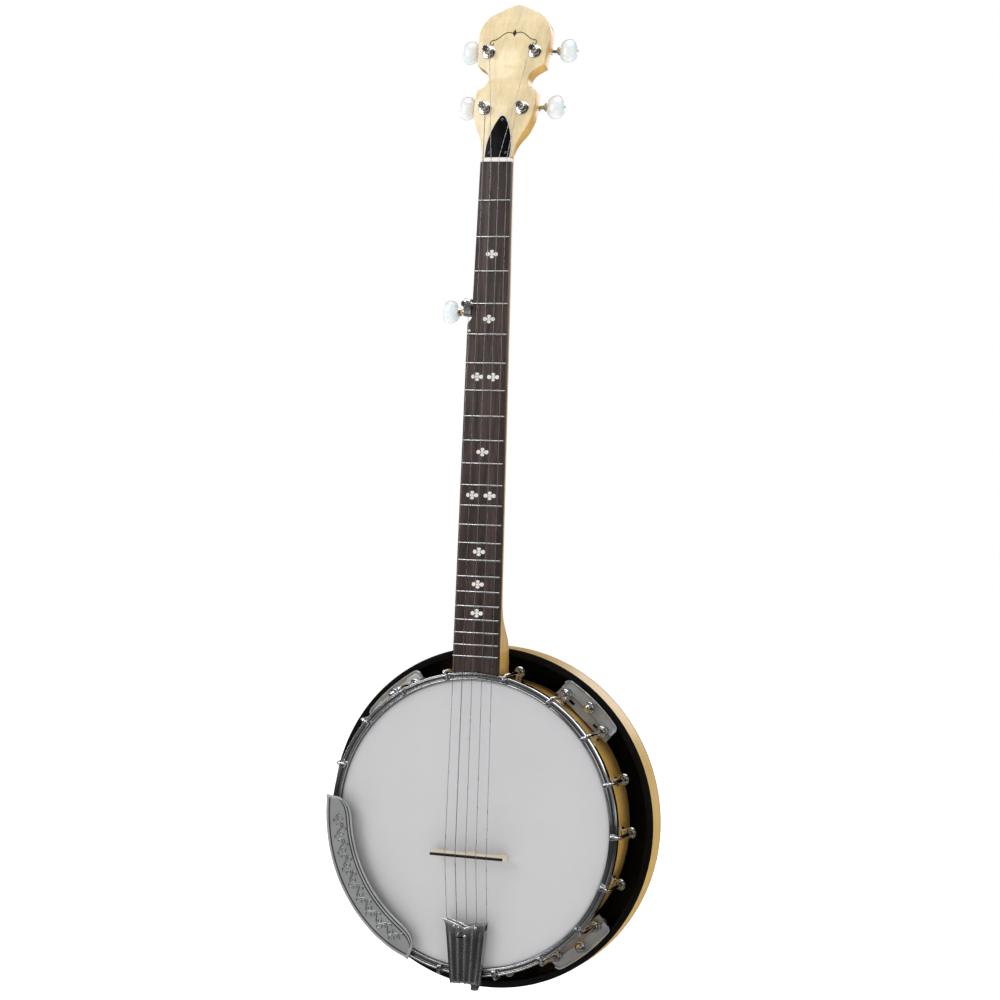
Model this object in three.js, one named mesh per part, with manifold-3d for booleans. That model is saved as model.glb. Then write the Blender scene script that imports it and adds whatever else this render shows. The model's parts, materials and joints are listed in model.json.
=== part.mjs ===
// Five-string resonator banjo, standing upright with its head towards -Y.
//
// Two working frames are used inside the exported group:
//   pot frame   origin at the middle of the drum head's outer skin, X right, Y back, Z towards the neck;
//               an angle round the pot is counted from +Z towards +X;
//   neck frame  origin at the top end of the fingerboard on its playing surface,
//               Y back, Z towards the peghead.
// The exported group moves both so that its own origin is where a hanger holds the neck, above the nut.
import * as THREE from "three";
import { mergeVertices } from "three/addons/utils/BufferGeometryUtils.js";
import Module from "manifold-3d";

const wasm = await Module();
wasm.setup();

// ---------------------------------------------------------------- driving dimensions, millimetres
const GAP = 0.3; // running gap between touching pieces
const ROUND = 48; // facets round the pot

const SCALE_LENGTH = 665.2; // nut to bridge
const FRETS = 22;
const NUT_HEIGHT_ABOVE_HEAD = 641.4; // pot centre to the fingerboard's top end
const NUT_BEHIND_HEAD = 12.4; // playing surface at the nut, behind the head's plane
const NECK_PITCH = THREE.MathUtils.degToRad(2.115);
const HANGER = new THREE.Vector3(0, 25, 658); // hanger point in the pot frame

const BOARD_LENGTH = 500; // before its end is cut to the hoop
const BOARD_THICK = 6;
const NUT_HALF_WIDTH = 15.9;
const END_HALF_WIDTH = 23.6;
const STEP_START = 150; // where the short fifth string's shoulder begins, from the nut
const STEP_END = 158;
const STEP_HALF_WIDTH = 22.5;
const FRET_HEIGHT = 1.1;
const FRET_WIDTH = 1.7;

const PEG_PITCH = THREE.MathUtils.degToRad(16);
const PEG_FACE_BELOW_BOARD = 1;
const PEG_START = 3;
const PEG_THICK = 15;
const NUT_THICK = 5;
const NUT_STAND = 2; // nut above the playing surface

const RIM_OUTER = 139;
const RIM_INNER = 121;
const RIM_FRONT = 6.9;
const RIM_BACK = 66;
const HOOP_OUTER = 147.9;
const HOOP_INNER = 140.6;
const HOOP_FRONT = -4.2;
const HOOP_BACK = 7.5;
const HEAD_THICK = 0.5;
const COLLAR_OUTER = 140.2;
const FLESH_HOOP_OUTER = 142.6;
const FLESH_HOOP_BACK = 11.3;
const TONE_RING_RADIUS = 135.2;
const TONE_RING_WIRE = 3.1;

const RESONATOR_OUTER = 168.5;
const RESONATOR_WALL = 6.2;
const RESONATOR_FRONT = 46;
const RESONATOR_EDGE_BACK = 71;
const RESONATOR_BACK = 84.5;
const RESONATOR_BACK_FLAT = 62; // radius of the flat middle of the back
const RESONATOR_PLATE = 5.5;

const HOOK_FIRST_DEG = 12;
const HOOK_STEP_DEG = 19.6;
const HOOKS_PER_SIDE = 9;
const HOOK_RADIUS = 150.3; // pot centre to a hook's shank
const HOOK_WIRE = 1.8;
const HOOK_TOP = -6.2; // shank centre line over the hoop
const SHOE_FRONT = 33;
const SHOE_BACK = 39;
const SHOE_RING = 5.3;
const SHOE_HOLE = 2.5;
const HOOK_NUT = 4;
const HOOK_NUT_BACK = 51;

const PLATE_HALF_LENGTH = 34;
const PLATE_INNER = 141;
const PLATE_OUTER = 162;
const PLATE_FRONT = 43.6;
const PLATE_THICK = 2;
const PLATE_SLOT = { x: 16.7, half: 3.5, from: 143.4, to: 146 };
const THUMB_DISTANCE = 155; // pot centre to a thumb screw
const THUMB_SHANK = 2.5;
const THUMB_KNOB = 5.5;

const ROD_Y = 20;
const ROD_RADIUS = 4;

const STRING_BRIDGE_PITCH = 10.75;
const STRING_NUT_PITCH = 8.27;
const STRING_TAIL_PITCH = 10.4;
const BRIDGE_HALF_WIDTH = 39;
const BRIDGE_HEIGHT = 16;
const BRIDGE_THICK = 5;
const BRIDGE_SETBACK = 5.8; // extra length that keeps the fretted notes in tune
const BRIDGE_Z = NUT_HEIGHT_ABOVE_HEAD - SCALE_LENGTH - BRIDGE_SETBACK;
const BRIDGE_TOP = -HEAD_THICK - GAP - BRIDGE_HEIGHT;

const ARM_FRONT = -13;
const ARM_THICK = 1.5;
const ARM_LIP = 1.3;
const ARM_LIP_BACK = -9.2; // ahead of the hooks' heads
const ARM_FOOT_DEG = [-100.2, -139.4];

const POST_RADIUS = 3;
const UPPER_POST = { x: 24, z: 113, knob: 42 };
const LOWER_POST = { x: 19.4, z: 53, knob: 36.8 };
const WORM_OFFSET = 10; // worm shaft above its post
const WORM_DEPTH = 20.3; // worm shaft behind the peghead's face
const FIFTH = { x: -24, z: -138, wormZ: -145, y: 9 };

// ---------------------------------------------------------------- materials
function finish(color, roughness, metalness) {
  return { color, roughness, metalness };
}
const MAPLE = finish(0xe6c07a, 0.35, 0);
const ROSEWOOD = finish(0x3b2a25, 0.55, 0);
const BONE = finish(0xf2eee2, 0.4, 0);
const BLACK = finish(0x0c0c0d, 0.15, 0);
const CHROME = finish(0xd4d7da, 0.12, 1);
const BRASS = finish(0xc9a24e, 0.3, 1);
const SKIN = finish(0xdcdde0, 0.6, 0);
const PEARL = finish(0xf1f4f2, 0.2, 0);
const STEEL = finish(0xb9bcc0, 0.3, 1);
const BRUSHED = finish(0x8d9094, 0.38, 1);

// ---------------------------------------------------------------- solids
function toSolid(geometry) {
  const bare = geometry.clone();
  bare.deleteAttribute("normal");
  bare.deleteAttribute("uv");
  const merged = mergeVertices(bare, 1e-4);
  const mesh = new wasm.Mesh({
    numProp: 3,
    vertProperties: merged.attributes.position.array,
    triVerts: new Uint32Array(merged.index.array),
  });
  return new wasm.Manifold(mesh);
}

function toGeometry(solid) {
  const mesh = solid.getMesh();
  const geometry = new THREE.BufferGeometry();
  geometry.setAttribute("position", new THREE.BufferAttribute(new Float32Array(mesh.vertProperties), 3));
  geometry.setIndex(new THREE.BufferAttribute(mesh.triVerts, 1));
  geometry.computeVertexNormals();
  return geometry;
}

function join(solids) {
  return solids.reduce((sum, solid) => sum.add(solid));
}

// A box from its low and high corners.
function box(low, high) {
  const size = high.map((value, axis) => value - low[axis]);
  const middle = high.map((value, axis) => (value + low[axis]) / 2);
  return toSolid(new THREE.BoxGeometry(...size).translate(...middle));
}

// A cylinder between two values along an axis, through (a, b) on the other two axes in X, Y, Z order.
function rod(axis, radius, from, to, a, b, sides = 12) {
  const geometry = new THREE.CylinderGeometry(radius, radius, to - from, sides);
  geometry.translate(0, (from + to) / 2, 0);
  if (axis === "x") geometry.rotateZ(-Math.PI / 2).translate(0, a, b);
  if (axis === "y") geometry.translate(a, 0, b);
  if (axis === "z") geometry.rotateX(Math.PI / 2).translate(a, b, 0);
  return toSolid(geometry);
}

// A solid turned about the Y axis from [radius, y] pairs.
function turned(profile, segments = ROUND) {
  const points = profile.map(([radius, y]) => new THREE.Vector2(radius, y));
  return new THREE.LatheGeometry(points, segments);
}

// A plate with the outline shape in X and Z, and its back face at backY.
function plate(shape, backY, thickness, curveSegments = 6) {
  const settings = { depth: thickness, bevelEnabled: false, curveSegments };
  const geometry = new THREE.ExtrudeGeometry(shape, settings);
  return geometry.rotateX(Math.PI / 2).translate(0, backY, 0);
}

function outline(points) {
  return new THREE.Shape(points.map(([x, z]) => new THREE.Vector2(x, z)));
}

function moved(solid, matrix) {
  return toSolid(toGeometry(solid).applyMatrix4(matrix));
}

// A path with one ring of the tube at each of its points, so that every bend is kept.
class BentPath extends THREE.Curve {
  constructor(points) {
    super();
    this.points = points;
  }

  leg(index) {
    return new THREE.Vector3().subVectors(this.points[index + 1], this.points[index]).normalize();
  }

  getPointAt(u, target = new THREE.Vector3()) {
    return target.copy(this.points[Math.round(u * (this.points.length - 1))]);
  }

  getTangentAt(u, target = new THREE.Vector3()) {
    const last = this.points.length - 1;
    const at = Math.round(u * last);
    const before = this.leg(Math.max(at - 1, 0));
    const after = this.leg(Math.min(at, last - 1));
    return target.addVectors(before, after).normalize();
  }
}

function wire(points, radius, sides) {
  const circle = new THREE.Shape(
    Array.from({ length: sides }, (_, i) => {
      const turn = (2 * Math.PI * i) / sides;
      return new THREE.Vector2(radius * Math.cos(turn), radius * Math.sin(turn));
    }),
  );
  const path = new BentPath(points);
  return new THREE.ExtrudeGeometry(circle, {
    steps: points.length - 1,
    extrudePath: path,
    bevelEnabled: false,
  });
}

// A closed body through rings of points that all have the same count.
function loft(rings) {
  const count = rings[0].length;
  const positions = rings.flat().flatMap((point) => [point.x, point.y, point.z]);
  const index = [];
  for (let ring = 0; ring < rings.length - 1; ring += 1) {
    for (let i = 0; i < count; i += 1) {
      const a = ring * count + i;
      const b = ring * count + ((i + 1) % count);
      index.push(a, a + count, b, b, a + count, b + count);
    }
  }
  const top = (rings.length - 1) * count;
  for (let i = 1; i < count - 1; i += 1) {
    index.push(0, i, i + 1);
    index.push(top, top + i + 1, top + i);
  }
  const geometry = new THREE.BufferGeometry();
  geometry.setAttribute("position", new THREE.Float32BufferAttribute(positions, 3));
  geometry.setIndex(index);
  return geometry;
}

// ---------------------------------------------------------------- scene graph
const banjo = new THREE.Group();
const pot = new THREE.Group();
const neckGroup = new THREE.Group();
const pegGroup = new THREE.Group();
banjo.add(pot);
pot.add(neckGroup);
neckGroup.add(pegGroup);
pot.position.copy(HANGER).negate();
neckGroup.position.set(0, NUT_BEHIND_HEAD, NUT_HEIGHT_ABOVE_HEAD);
neckGroup.rotation.x = -NECK_PITCH;
pegGroup.position.set(0, PEG_FACE_BELOW_BOARD, PEG_START);
pegGroup.rotation.x = -PEG_PITCH;
banjo.updateMatrixWorld(true);
neckGroup.updateMatrix();
pegGroup.updateMatrix();
const neckToPot = neckGroup.matrix.clone();
const potToNeck = neckToPot.clone().invert();
const pegToNeck = pegGroup.matrix.clone();
const pegToPot = neckToPot.clone().multiply(pegToNeck);

function add(group, name, shape, look) {
  const geometry = shape.isBufferGeometry ? shape : toGeometry(shape);
  const mesh = new THREE.Mesh(geometry, new THREE.MeshStandardMaterial(look));
  mesh.name = name;
  group.add(mesh);
  return mesh;
}

// ---------------------------------------------------------------- neck and fingerboard
function fretDistance(fret) {
  return SCALE_LENGTH * (1 - 2 ** (-fret / 12));
}

function rightEdge(distance) {
  return NUT_HALF_WIDTH + ((END_HALF_WIDTH - NUT_HALF_WIDTH) * distance) / BOARD_LENGTH;
}

// The left edge steps out where the fifth string begins.
function leftEdge(distance) {
  if (distance <= STEP_START) return rightEdge(distance);
  if (distance >= STEP_END) {
    const along = (distance - STEP_END) / (BOARD_LENGTH - STEP_END);
    return STEP_HALF_WIDTH + (END_HALF_WIDTH - STEP_HALF_WIDTH) * along;
  }
  const blend = (1 - Math.cos((Math.PI * (distance - STEP_START)) / (STEP_END - STEP_START))) / 2;
  return rightEdge(STEP_START) + (STEP_HALF_WIDTH - rightEdge(STEP_START)) * blend;
}

const SHOULDER = [STEP_START, STEP_START + 2, STEP_START + 4, STEP_START + 6, STEP_END];

// What the drum and its tension hoop take out of the neck's end, in the neck frame.
function potClearance() {
  const rim = rod("y", RIM_OUTER + 0.5, -60, 120, 0, 0, 96);
  const hoop = rod("y", HOOP_OUTER + 0.6, -60, FLESH_HOOP_BACK + 0.7, 0, 0, 96);
  return moved(rim.add(hoop), potToNeck);
}

function fingerboard() {
  const left = SHOULDER.map((distance) => [-leftEdge(distance), -distance]);
  const edge = [
    [NUT_HALF_WIDTH, 0],
    [-NUT_HALF_WIDTH, 0],
    ...left,
    [-END_HALF_WIDTH, -BOARD_LENGTH],
    [END_HALF_WIDTH, -BOARD_LENGTH],
  ];
  let board = toSolid(plate(outline(edge), BOARD_THICK, BOARD_THICK)).subtract(potClearance());
  for (let fret = 1; fret <= FRETS; fret += 1) {
    const distance = fretDistance(fret);
    const inset = 0.4;
    const low = [inset - leftEdge(distance), -FRET_HEIGHT, -distance - FRET_WIDTH / 2];
    const high = [rightEdge(distance) - inset, 1, -distance + FRET_WIDTH / 2];
    board = board.add(box(low, high));
  }
  const pip = fretDistance(5) - 3.3;
  return board.add(rod("y", 1.3, -1.9, 2, -19.9, -pip, 8));
}

// One D-shaped ring of the neck at a distance from the nut. Squareness 1 is round, less is boxier.
function neckRing(distance, depth, squareness, spread = 0) {
  const count = 14;
  const top = BOARD_THICK + GAP;
  const left = leftEdge(Math.max(distance, 0)) + spread;
  const right = rightEdge(Math.max(distance, 0)) + spread;
  return Array.from({ length: count + 1 }, (_, i) => {
    const turn = (Math.PI * i) / count;
    const cos = Math.cos(turn);
    const half = cos > 0 ? right : left;
    const x = half * Math.sign(cos) * Math.abs(cos) ** squareness;
    const y = top + (depth - top) * Math.sin(turn) ** squareness;
    return new THREE.Vector3(x, y, -distance);
  });
}

// The half of the peghead's outline with positive X, from the nut up to the crown.
function pegheadSide() {
  return [
    [16.2, 2],
    [16.6, 8],
    [17.8, 14.9],
    [19.8, 20.5],
    [23.2, 27.7],
    [26.7, 35],
    [29.6, 41.5],
    [30.5, 48],
    [30.9, 56],
    [30.9, 65],
    [30.5, 72.3],
    [27.8, 74],
    [23.8, 76.2],
    [21.2, 79.6],
    [20.3, 83.6],
    [21.2, 88.4],
    [24.3, 93.2],
    [29, 96.4],
    [34.5, 100.2],
    [34.9, 109.5],
    [35.6, 118],
    [36.6, 125],
    [36.8, 133],
    [35.8, 138.5],
    [33.3, 144.2],
    [28.3, 150.8],
    [20, 156],
    [12, 160],
    [4.4, 163.3],
    [0, 164.4],
  ];
}

function peghead() {
  const right = pegheadSide();
  const left = right
    .slice(0, -1)
    .map(([x, z]) => [-x, z])
    .reverse();
  const body = toSolid(plate(outline([...right, ...left]), PEG_THICK, PEG_THICK));
  return moved(body, pegToNeck);
}

const posts = [
  { ...LOWER_POST, side: -1, string: 4 },
  { ...UPPER_POST, side: -1, string: 3 },
  { ...UPPER_POST, side: 1, string: 2 },
  { ...LOWER_POST, side: 1, string: 1 },
];

function neck() {
  const rings = [
    neckRing(-11, 20, 1),
    neckRing(0, 19.5, 1),
    neckRing(60, 20, 1),
    ...SHOULDER.map((distance) => neckRing(distance, 21, 1)),
    neckRing(300, 22.5, 1),
    neckRing(420, 24, 1),
    neckRing(436, 27, 0.9),
    neckRing(446, 33, 0.8),
    neckRing(454, 41, 0.7),
    neckRing(464, 47, 0.6),
    neckRing(480, 49, 0.55),
    neckRing(505, 49.5, 0.55),
  ];
  let body = toSolid(loft(rings)).add(peghead());
  body = body.subtract(box([-25, -20, -5], [25, BOARD_THICK + GAP, NUT_THICK + GAP]));
  body = body.subtract(potClearance());
  posts.forEach(({ x, z, side }) => {
    const hole = rod("y", 5.1, -10, PEG_THICK + 10, side * x, z, 12);
    body = body.subtract(moved(hole, pegToNeck));
  });
  body = body.subtract(rod("x", 2.8, -40, -9.5, FIFTH.y + 0.4, -141, 12));
  const bolt = rod("z", ROD_RADIUS + 0.9, 100, 156, 0, ROD_Y, 12);
  return body.subtract(moved(bolt, potToNeck));
}

function nut() {
  const shape = outline([
    [-NUT_HALF_WIDTH + 0.3, BOARD_THICK],
    [NUT_HALF_WIDTH - 0.3, BOARD_THICK],
    [NUT_HALF_WIDTH - 0.3, -NUT_STAND + 0.6],
    [NUT_HALF_WIDTH - 1.2, -NUT_STAND],
    [-NUT_HALF_WIDTH + 1.2, -NUT_STAND],
    [-NUT_HALF_WIDTH + 0.3, -NUT_STAND + 0.6],
  ]);
  const geometry = new THREE.ExtrudeGeometry(shape, { depth: NUT_THICK - GAP, bevelEnabled: false });
  return geometry.translate(0, 0, GAP);
}

function trussRodCover() {
  const half = 12.6;
  const shape = new THREE.Shape();
  shape.moveTo(-half, 4.2);
  shape.lineTo(half, 4.2);
  shape.lineTo(half, 16);
  shape.bezierCurveTo(half, 30, 7, 44, 0, 47);
  shape.bezierCurveTo(-7, 44, -half, 30, -half, 16);
  let cover = toSolid(plate(shape, -GAP, 1.8, 8));
  [
    [0, 41],
    [-8.6, 8],
    [8.6, 8],
  ].forEach(([x, z]) => {
    cover = cover.add(rod("y", 1.7, -2.8, -1, x, z, 10));
  });
  return cover;
}

add(neckGroup, "neck", neck(), MAPLE);
add(neckGroup, "fingerboard", fingerboard(), ROSEWOOD);
add(neckGroup, "nut", nut(), BONE);
add(pegGroup, "truss_rod_cover", trussRodCover(), BLACK);

// ---------------------------------------------------------------- tuners
// The gear housing sits behind the peghead, and its threaded sleeve comes through to the front.
function tunerHousing({ x, z, side }) {
  const px = side * x;
  const plateBack = PEG_THICK + GAP;
  let body = box([px - 9.5, plateBack, z - 13], [px + 9.5, plateBack + 1.2, z + 20]);
  body = body.add(box([px - 8.5, plateBack, z - 8], [px + 8.5, plateBack + 10, z + 15.5]));
  body = body.add(rod("y", 4.7, -2.8, plateBack + 1, px, z));
  body = body.add(rod("y", 6.4, -2.8, -GAP, px, z));
  body = body.subtract(rod("y", POST_RADIUS + 0.4, -5, plateBack + 8, px, z));
  const mouth = side * (x + 8.5);
  const bottom = side * (x + 1);
  const from = Math.min(mouth + side, bottom);
  const to = Math.max(mouth + side, bottom);
  return body.subtract(rod("x", 2.5, from, to, WORM_DEPTH, z + WORM_OFFSET));
}

// A string post with a flared, slotted top, along Y from its foot to its tip in front of the face.
function tunerPost(px, foot, tip, z, radius) {
  const geometry = turned(
    [
      [0, tip],
      [radius + 0.4, tip],
      [radius - 0.5, tip + 2.6],
      [radius, tip + 6.4],
      [radius, foot],
      [0, foot],
    ],
    10,
  );
  geometry.translate(px, 0, z);
  return toSolid(geometry).subtract(box([px - 0.6, tip - 1, z - 9], [px + 0.6, tip + 1.6, z + 9]));
}

// A flattened oval button on its shaft, turned about X. Side is the direction it points in.
function tunerKnob(side, shaftFrom, start, y, z, length, radius, flatness) {
  const oval = Array.from({ length: 5 }, (_, i) => {
    const turn = (Math.PI * (i + 1)) / 6;
    return [radius * Math.sin(turn) ** 0.8, (length * (1 - Math.cos(turn))) / 2];
  });
  const button = turned([[0, 0], ...oval, [0, length]], 12);
  button.scale(1, 1, flatness);
  button.translate(0, start, 0);
  const neckPart = turned(
    [
      [0, shaftFrom],
      [2, shaftFrom],
      [2, start - 4],
      [3.4, start - 3],
      [3.4, start + 2],
      [0, start + 2],
    ],
    8,
  );
  const body = toSolid(button).add(toSolid(neckPart));
  const turn = new THREE.Matrix4().makeRotationZ((-side * Math.PI) / 2);
  // A quarter turn about the shaft stands the oval's long way upright.
  const flat = new THREE.Matrix4().makeRotationX(Math.PI / 2);
  const place = new THREE.Matrix4().makeTranslation(0, y, z);
  return moved(body, place.multiply(flat).multiply(turn));
}

posts.forEach((post) => {
  const name = `tuner_${post.string}`;
  const px = post.side * post.x;
  const wormZ = post.z + WORM_OFFSET;
  add(pegGroup, `${name}_housing`, tunerHousing(post), CHROME);
  add(pegGroup, `${name}_post`, tunerPost(px, PEG_THICK + 7.9, -11.5, post.z, POST_RADIUS), CHROME);
  const knob = tunerKnob(post.side, post.x + 2, post.knob, WORM_DEPTH, wormZ, 18.5, 12, 0.62);
  add(pegGroup, `${name}_knob`, knob, PEARL);
});

// The fifth string's tuner is let into the side of the neck.
function fifthHousing() {
  const { x, z, wormZ, y } = FIFTH;
  let body = box([x - 5, y - 6, -149.4], [x + 4.6, y + 6, z + 6]);
  body = body.add(rod("x", 2.4, x + 4, -10.2, y + 0.4, -141));
  body = body.add(rod("y", 4.6, -0.4, y, x, z));
  body = body.subtract(rod("y", 2.8, -5, y + 3, x, z));
  return body.subtract(rod("x", 2.4, x - 8, x + 2, y, wormZ));
}

add(neckGroup, "tuner_5_housing", fifthHousing(), CHROME);
add(neckGroup, "tuner_5_post", tunerPost(FIFTH.x, FIFTH.y + 2.8, -9, FIFTH.z, 2.4), CHROME);
const fifthKnob = tunerKnob(-1, -FIFTH.x - 1, 34.5, FIFTH.y, FIFTH.wormZ, 18, 11, 0.62);
add(neckGroup, "tuner_5_knob", fifthKnob, PEARL);

// ---------------------------------------------------------------- drum
function polar(degrees, radius, y) {
  const turn = THREE.MathUtils.degToRad(degrees);
  return new THREE.Vector3(radius * Math.sin(turn), y, radius * Math.cos(turn));
}

function about(degrees) {
  return new THREE.Matrix4().makeRotationY(THREE.MathUtils.degToRad(degrees));
}

const hookAngles = [];
for (let i = 0; i < HOOKS_PER_SIDE; i += 1) hookAngles.push(HOOK_FIRST_DEG + HOOK_STEP_DEG * i);
for (let i = HOOKS_PER_SIDE - 1; i >= 0; i -= 1) hookAngles.push(-HOOK_FIRST_DEG - HOOK_STEP_DEG * i);

// A bracket shoe at the top of the pot: an eye for the hook on a foot against the rim.
function shoe() {
  const foot = box([-4.4, SHOE_FRONT + 0.8, RIM_OUTER - 3], [4.4, SHOE_BACK + 4, HOOK_RADIUS - 6]);
  const web = box([-3.2, SHOE_FRONT + 0.8, HOOK_RADIUS - 8], [3.2, SHOE_BACK, HOOK_RADIUS - 3]);
  const eye = rod("y", SHOE_RING, SHOE_FRONT, SHOE_BACK, 0, HOOK_RADIUS, 10);
  return join([foot, web, eye]).subtract(rod("y", SHOE_HOLE, 0, 80, 0, HOOK_RADIUS, 6));
}

function rim() {
  let body = toSolid(
    turned([
      [RIM_INNER, RIM_FRONT],
      [RIM_OUTER, RIM_FRONT],
      [RIM_OUTER, RIM_BACK],
      [RIM_INNER, RIM_BACK],
      [RIM_INNER, RIM_FRONT],
    ]),
  );
  const one = shoe();
  hookAngles.forEach((angle) => {
    body = body.add(moved(one, about(angle)));
  });
  return body.subtract(rod("z", ROD_RADIUS + 0.5, -200, 200, 0, ROD_Y));
}

function toneRing() {
  const wireRing = Array.from({ length: 7 }, (_, i) => {
    const turn = (Math.PI * i) / 3;
    return [
      TONE_RING_RADIUS + TONE_RING_WIRE * Math.cos(turn),
      RIM_FRONT - GAP - TONE_RING_WIRE + TONE_RING_WIRE * Math.sin(turn),
    ];
  });
  return turned(wireRing);
}

// The skin, its turned-down collar and the flesh hoop that it is crimped into.
function drumHead() {
  const inner = COLLAR_OUTER - 0.8;
  return turned([
    [0, -HEAD_THICK],
    [inner, -HEAD_THICK],
    [COLLAR_OUTER, 0.4],
    [COLLAR_OUTER, HOOP_BACK + GAP],
    [FLESH_HOOP_OUTER, HOOP_BACK + GAP],
    [FLESH_HOOP_OUTER, FLESH_HOOP_BACK],
    [inner, FLESH_HOOP_BACK],
    [inner, 0],
    [0, 0],
  ]);
}

// The front of the hoop has a groove that the hooks' tips drop into.
function tensionHoop() {
  const groove = HOOP_FRONT + 2.3;
  return turned([
    [HOOP_INNER, HOOP_FRONT],
    [HOOP_INNER + 1, HOOP_FRONT],
    [HOOP_INNER + 1.3, groove],
    [HOOP_OUTER - 1.7, groove],
    [HOOP_OUTER - 1.4, HOOP_FRONT],
    [HOOP_OUTER, HOOP_FRONT],
    [HOOP_OUTER, HOOP_BACK],
    [HOOP_INNER, HOOP_BACK],
    [HOOP_INNER, HOOP_FRONT],
  ]);
}

function hook(angle) {
  const path = [
    [144, HOOP_FRONT + 1.6],
    [144, HOOP_FRONT - 0.6],
    [144.8, HOOK_TOP],
    [148.6, HOOK_TOP],
    [149.9, HOOK_TOP + 0.5],
    [HOOK_RADIUS, HOOK_TOP + 1.8],
    [HOOK_RADIUS, HOOK_NUT_BACK - 1],
  ].map(([radius, y]) => new THREE.Vector3(0, y, radius));
  const shank = toSolid(wire(path, HOOK_WIRE, 6));
  const nutBody = rod("y", HOOK_NUT, SHOE_BACK + GAP, HOOK_NUT_BACK, 0, HOOK_RADIUS, 6);
  return moved(shank.add(nutBody), about(angle));
}

// One steel rod ties the neck's heel to the tail, with nuts either side of the rim's wall.
function coordinatorRod() {
  const nutRadius = 7.5;
  const inside = RIM_INNER - 1;
  return join([
    rod("z", ROD_RADIUS, -166, 153, 0, ROD_Y),
    rod("z", nutRadius, inside - 7, inside, 0, ROD_Y, 6),
    rod("z", nutRadius, -inside, -inside + 7, 0, ROD_Y, 6),
    rod("z", nutRadius, -RIM_OUTER - 6, -RIM_OUTER - 0.6, 0, ROD_Y, 6),
    rod("z", 6.5, -160, -152.6, 0, ROD_Y, 6),
  ]);
}

add(pot, "rim", rim(), MAPLE);
add(pot, "tone_ring", toneRing(), BRASS);
add(pot, "head", drumHead(), SKIN);
add(pot, "tension_hoop", tensionHoop(), CHROME);
add(pot, "coordinator_rod", coordinatorRod(), STEEL);
hookAngles.forEach((angle, i) => {
  const number = String(i + 1).padStart(2, "0");
  add(pot, `hook_${number}`, hook(angle), CHROME);
});

// ---------------------------------------------------------------- resonator and its flange plates
const plateAngles = [1, 6].flatMap((first) => {
  const middle = HOOK_FIRST_DEG + HOOK_STEP_DEG * (first + 0.5);
  return [middle, -middle];
});
const plateNames = ["upper_right", "upper_left", "lower_right", "lower_left"];

function resonator() {
  const inside = RESONATOR_OUTER - RESONATOR_WALL;
  let body = toSolid(
    turned([
      [0, RESONATOR_BACK - RESONATOR_PLATE],
      [RESONATOR_BACK_FLAT, RESONATOR_BACK - RESONATOR_PLATE],
      [110, RESONATOR_BACK - RESONATOR_PLATE - 3],
      [148, RESONATOR_BACK - RESONATOR_PLATE - 9],
      [inside, RESONATOR_EDGE_BACK - 6],
      [inside, RESONATOR_FRONT],
      [RESONATOR_OUTER, RESONATOR_FRONT],
      [RESONATOR_OUTER, RESONATOR_EDGE_BACK],
      [RESONATOR_OUTER - 2, RESONATOR_EDGE_BACK + 2.6],
      [150, RESONATOR_BACK - 7.4],
      [110, RESONATOR_BACK - 2.4],
      [RESONATOR_BACK_FLAT, RESONATOR_BACK],
      [0, RESONATOR_BACK],
    ]),
  );
  const lug = box([-7, 48, 148], [7, 60, RESONATOR_OUTER - 3]);
  const drilled = lug.subtract(rod("y", THUMB_SHANK + 0.6, 40, 58, 0, THUMB_DISTANCE));
  plateAngles.forEach((angle) => {
    body = body.add(moved(drilled, about(angle)));
  });
  return body;
}

// A bent plate that two hooks clamp against the pot and that a thumb screw ties to the resonator.
function flangePlate(angle) {
  const corner = 5;
  const half = PLATE_HALF_LENGTH;
  const shape = new THREE.Shape();
  shape.moveTo(-half + corner, PLATE_OUTER);
  shape.quadraticCurveTo(-half, PLATE_OUTER, -half, PLATE_OUTER - corner);
  shape.lineTo(-half, PLATE_INNER);
  shape.lineTo(half, PLATE_INNER);
  shape.lineTo(half, PLATE_OUTER - corner);
  shape.quadraticCurveTo(half, PLATE_OUTER, half - corner, PLATE_OUTER);
  let body = toSolid(plate(shape, PLATE_FRONT + PLATE_THICK, PLATE_THICK, 4));
  const foldLow = [-half, PLATE_FRONT - 1.2, PLATE_OUTER - 11.6];
  const foldHigh = [half, PLATE_FRONT + 1, PLATE_OUTER - 10.4];
  body = body.add(box(foldLow, foldHigh));
  const along = THREE.MathUtils.degToRad(HOOK_STEP_DEG / 2);
  const hookX = HOOK_RADIUS * Math.sin(along);
  const hookZ = HOOK_RADIUS * Math.cos(along);
  [-1, 1].forEach((side) => {
    body = body.subtract(rod("y", HOOK_NUT + 0.9, 30, 60, side * hookX, hookZ, 10));
    const slotX = side * PLATE_SLOT.x;
    const slotLow = [slotX - PLATE_SLOT.half, 30, PLATE_SLOT.from];
    body = body.subtract(box(slotLow, [slotX + PLATE_SLOT.half, 60, PLATE_SLOT.to]));
  });
  body = body.subtract(rod("y", THUMB_SHANK + 0.6, 30, 60, 0, THUMB_DISTANCE));
  return moved(body, about(angle));
}

function thumbScrew(angle) {
  const knobBack = PLATE_FRONT - 1.2 - GAP;
  const geometry = turned(
    [
      [0, 32],
      [THUMB_KNOB, 32],
      [THUMB_KNOB, 37],
      [THUMB_KNOB - 1.4, 39],
      [THUMB_KNOB, knobBack],
      [THUMB_SHANK, knobBack],
      [THUMB_SHANK, 57],
      [0, 57],
    ],
    10,
  );
  geometry.translate(0, 0, THUMB_DISTANCE);
  return geometry.applyMatrix4(about(angle));
}

add(pot, "resonator", resonator(), MAPLE);
plateAngles.forEach((angle, i) => {
  add(pot, `flange_plate_${plateNames[i]}`, flangePlate(angle), CHROME);
  add(pot, `thumb_screw_${plateNames[i]}`, thumbScrew(angle), CHROME);
});

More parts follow.
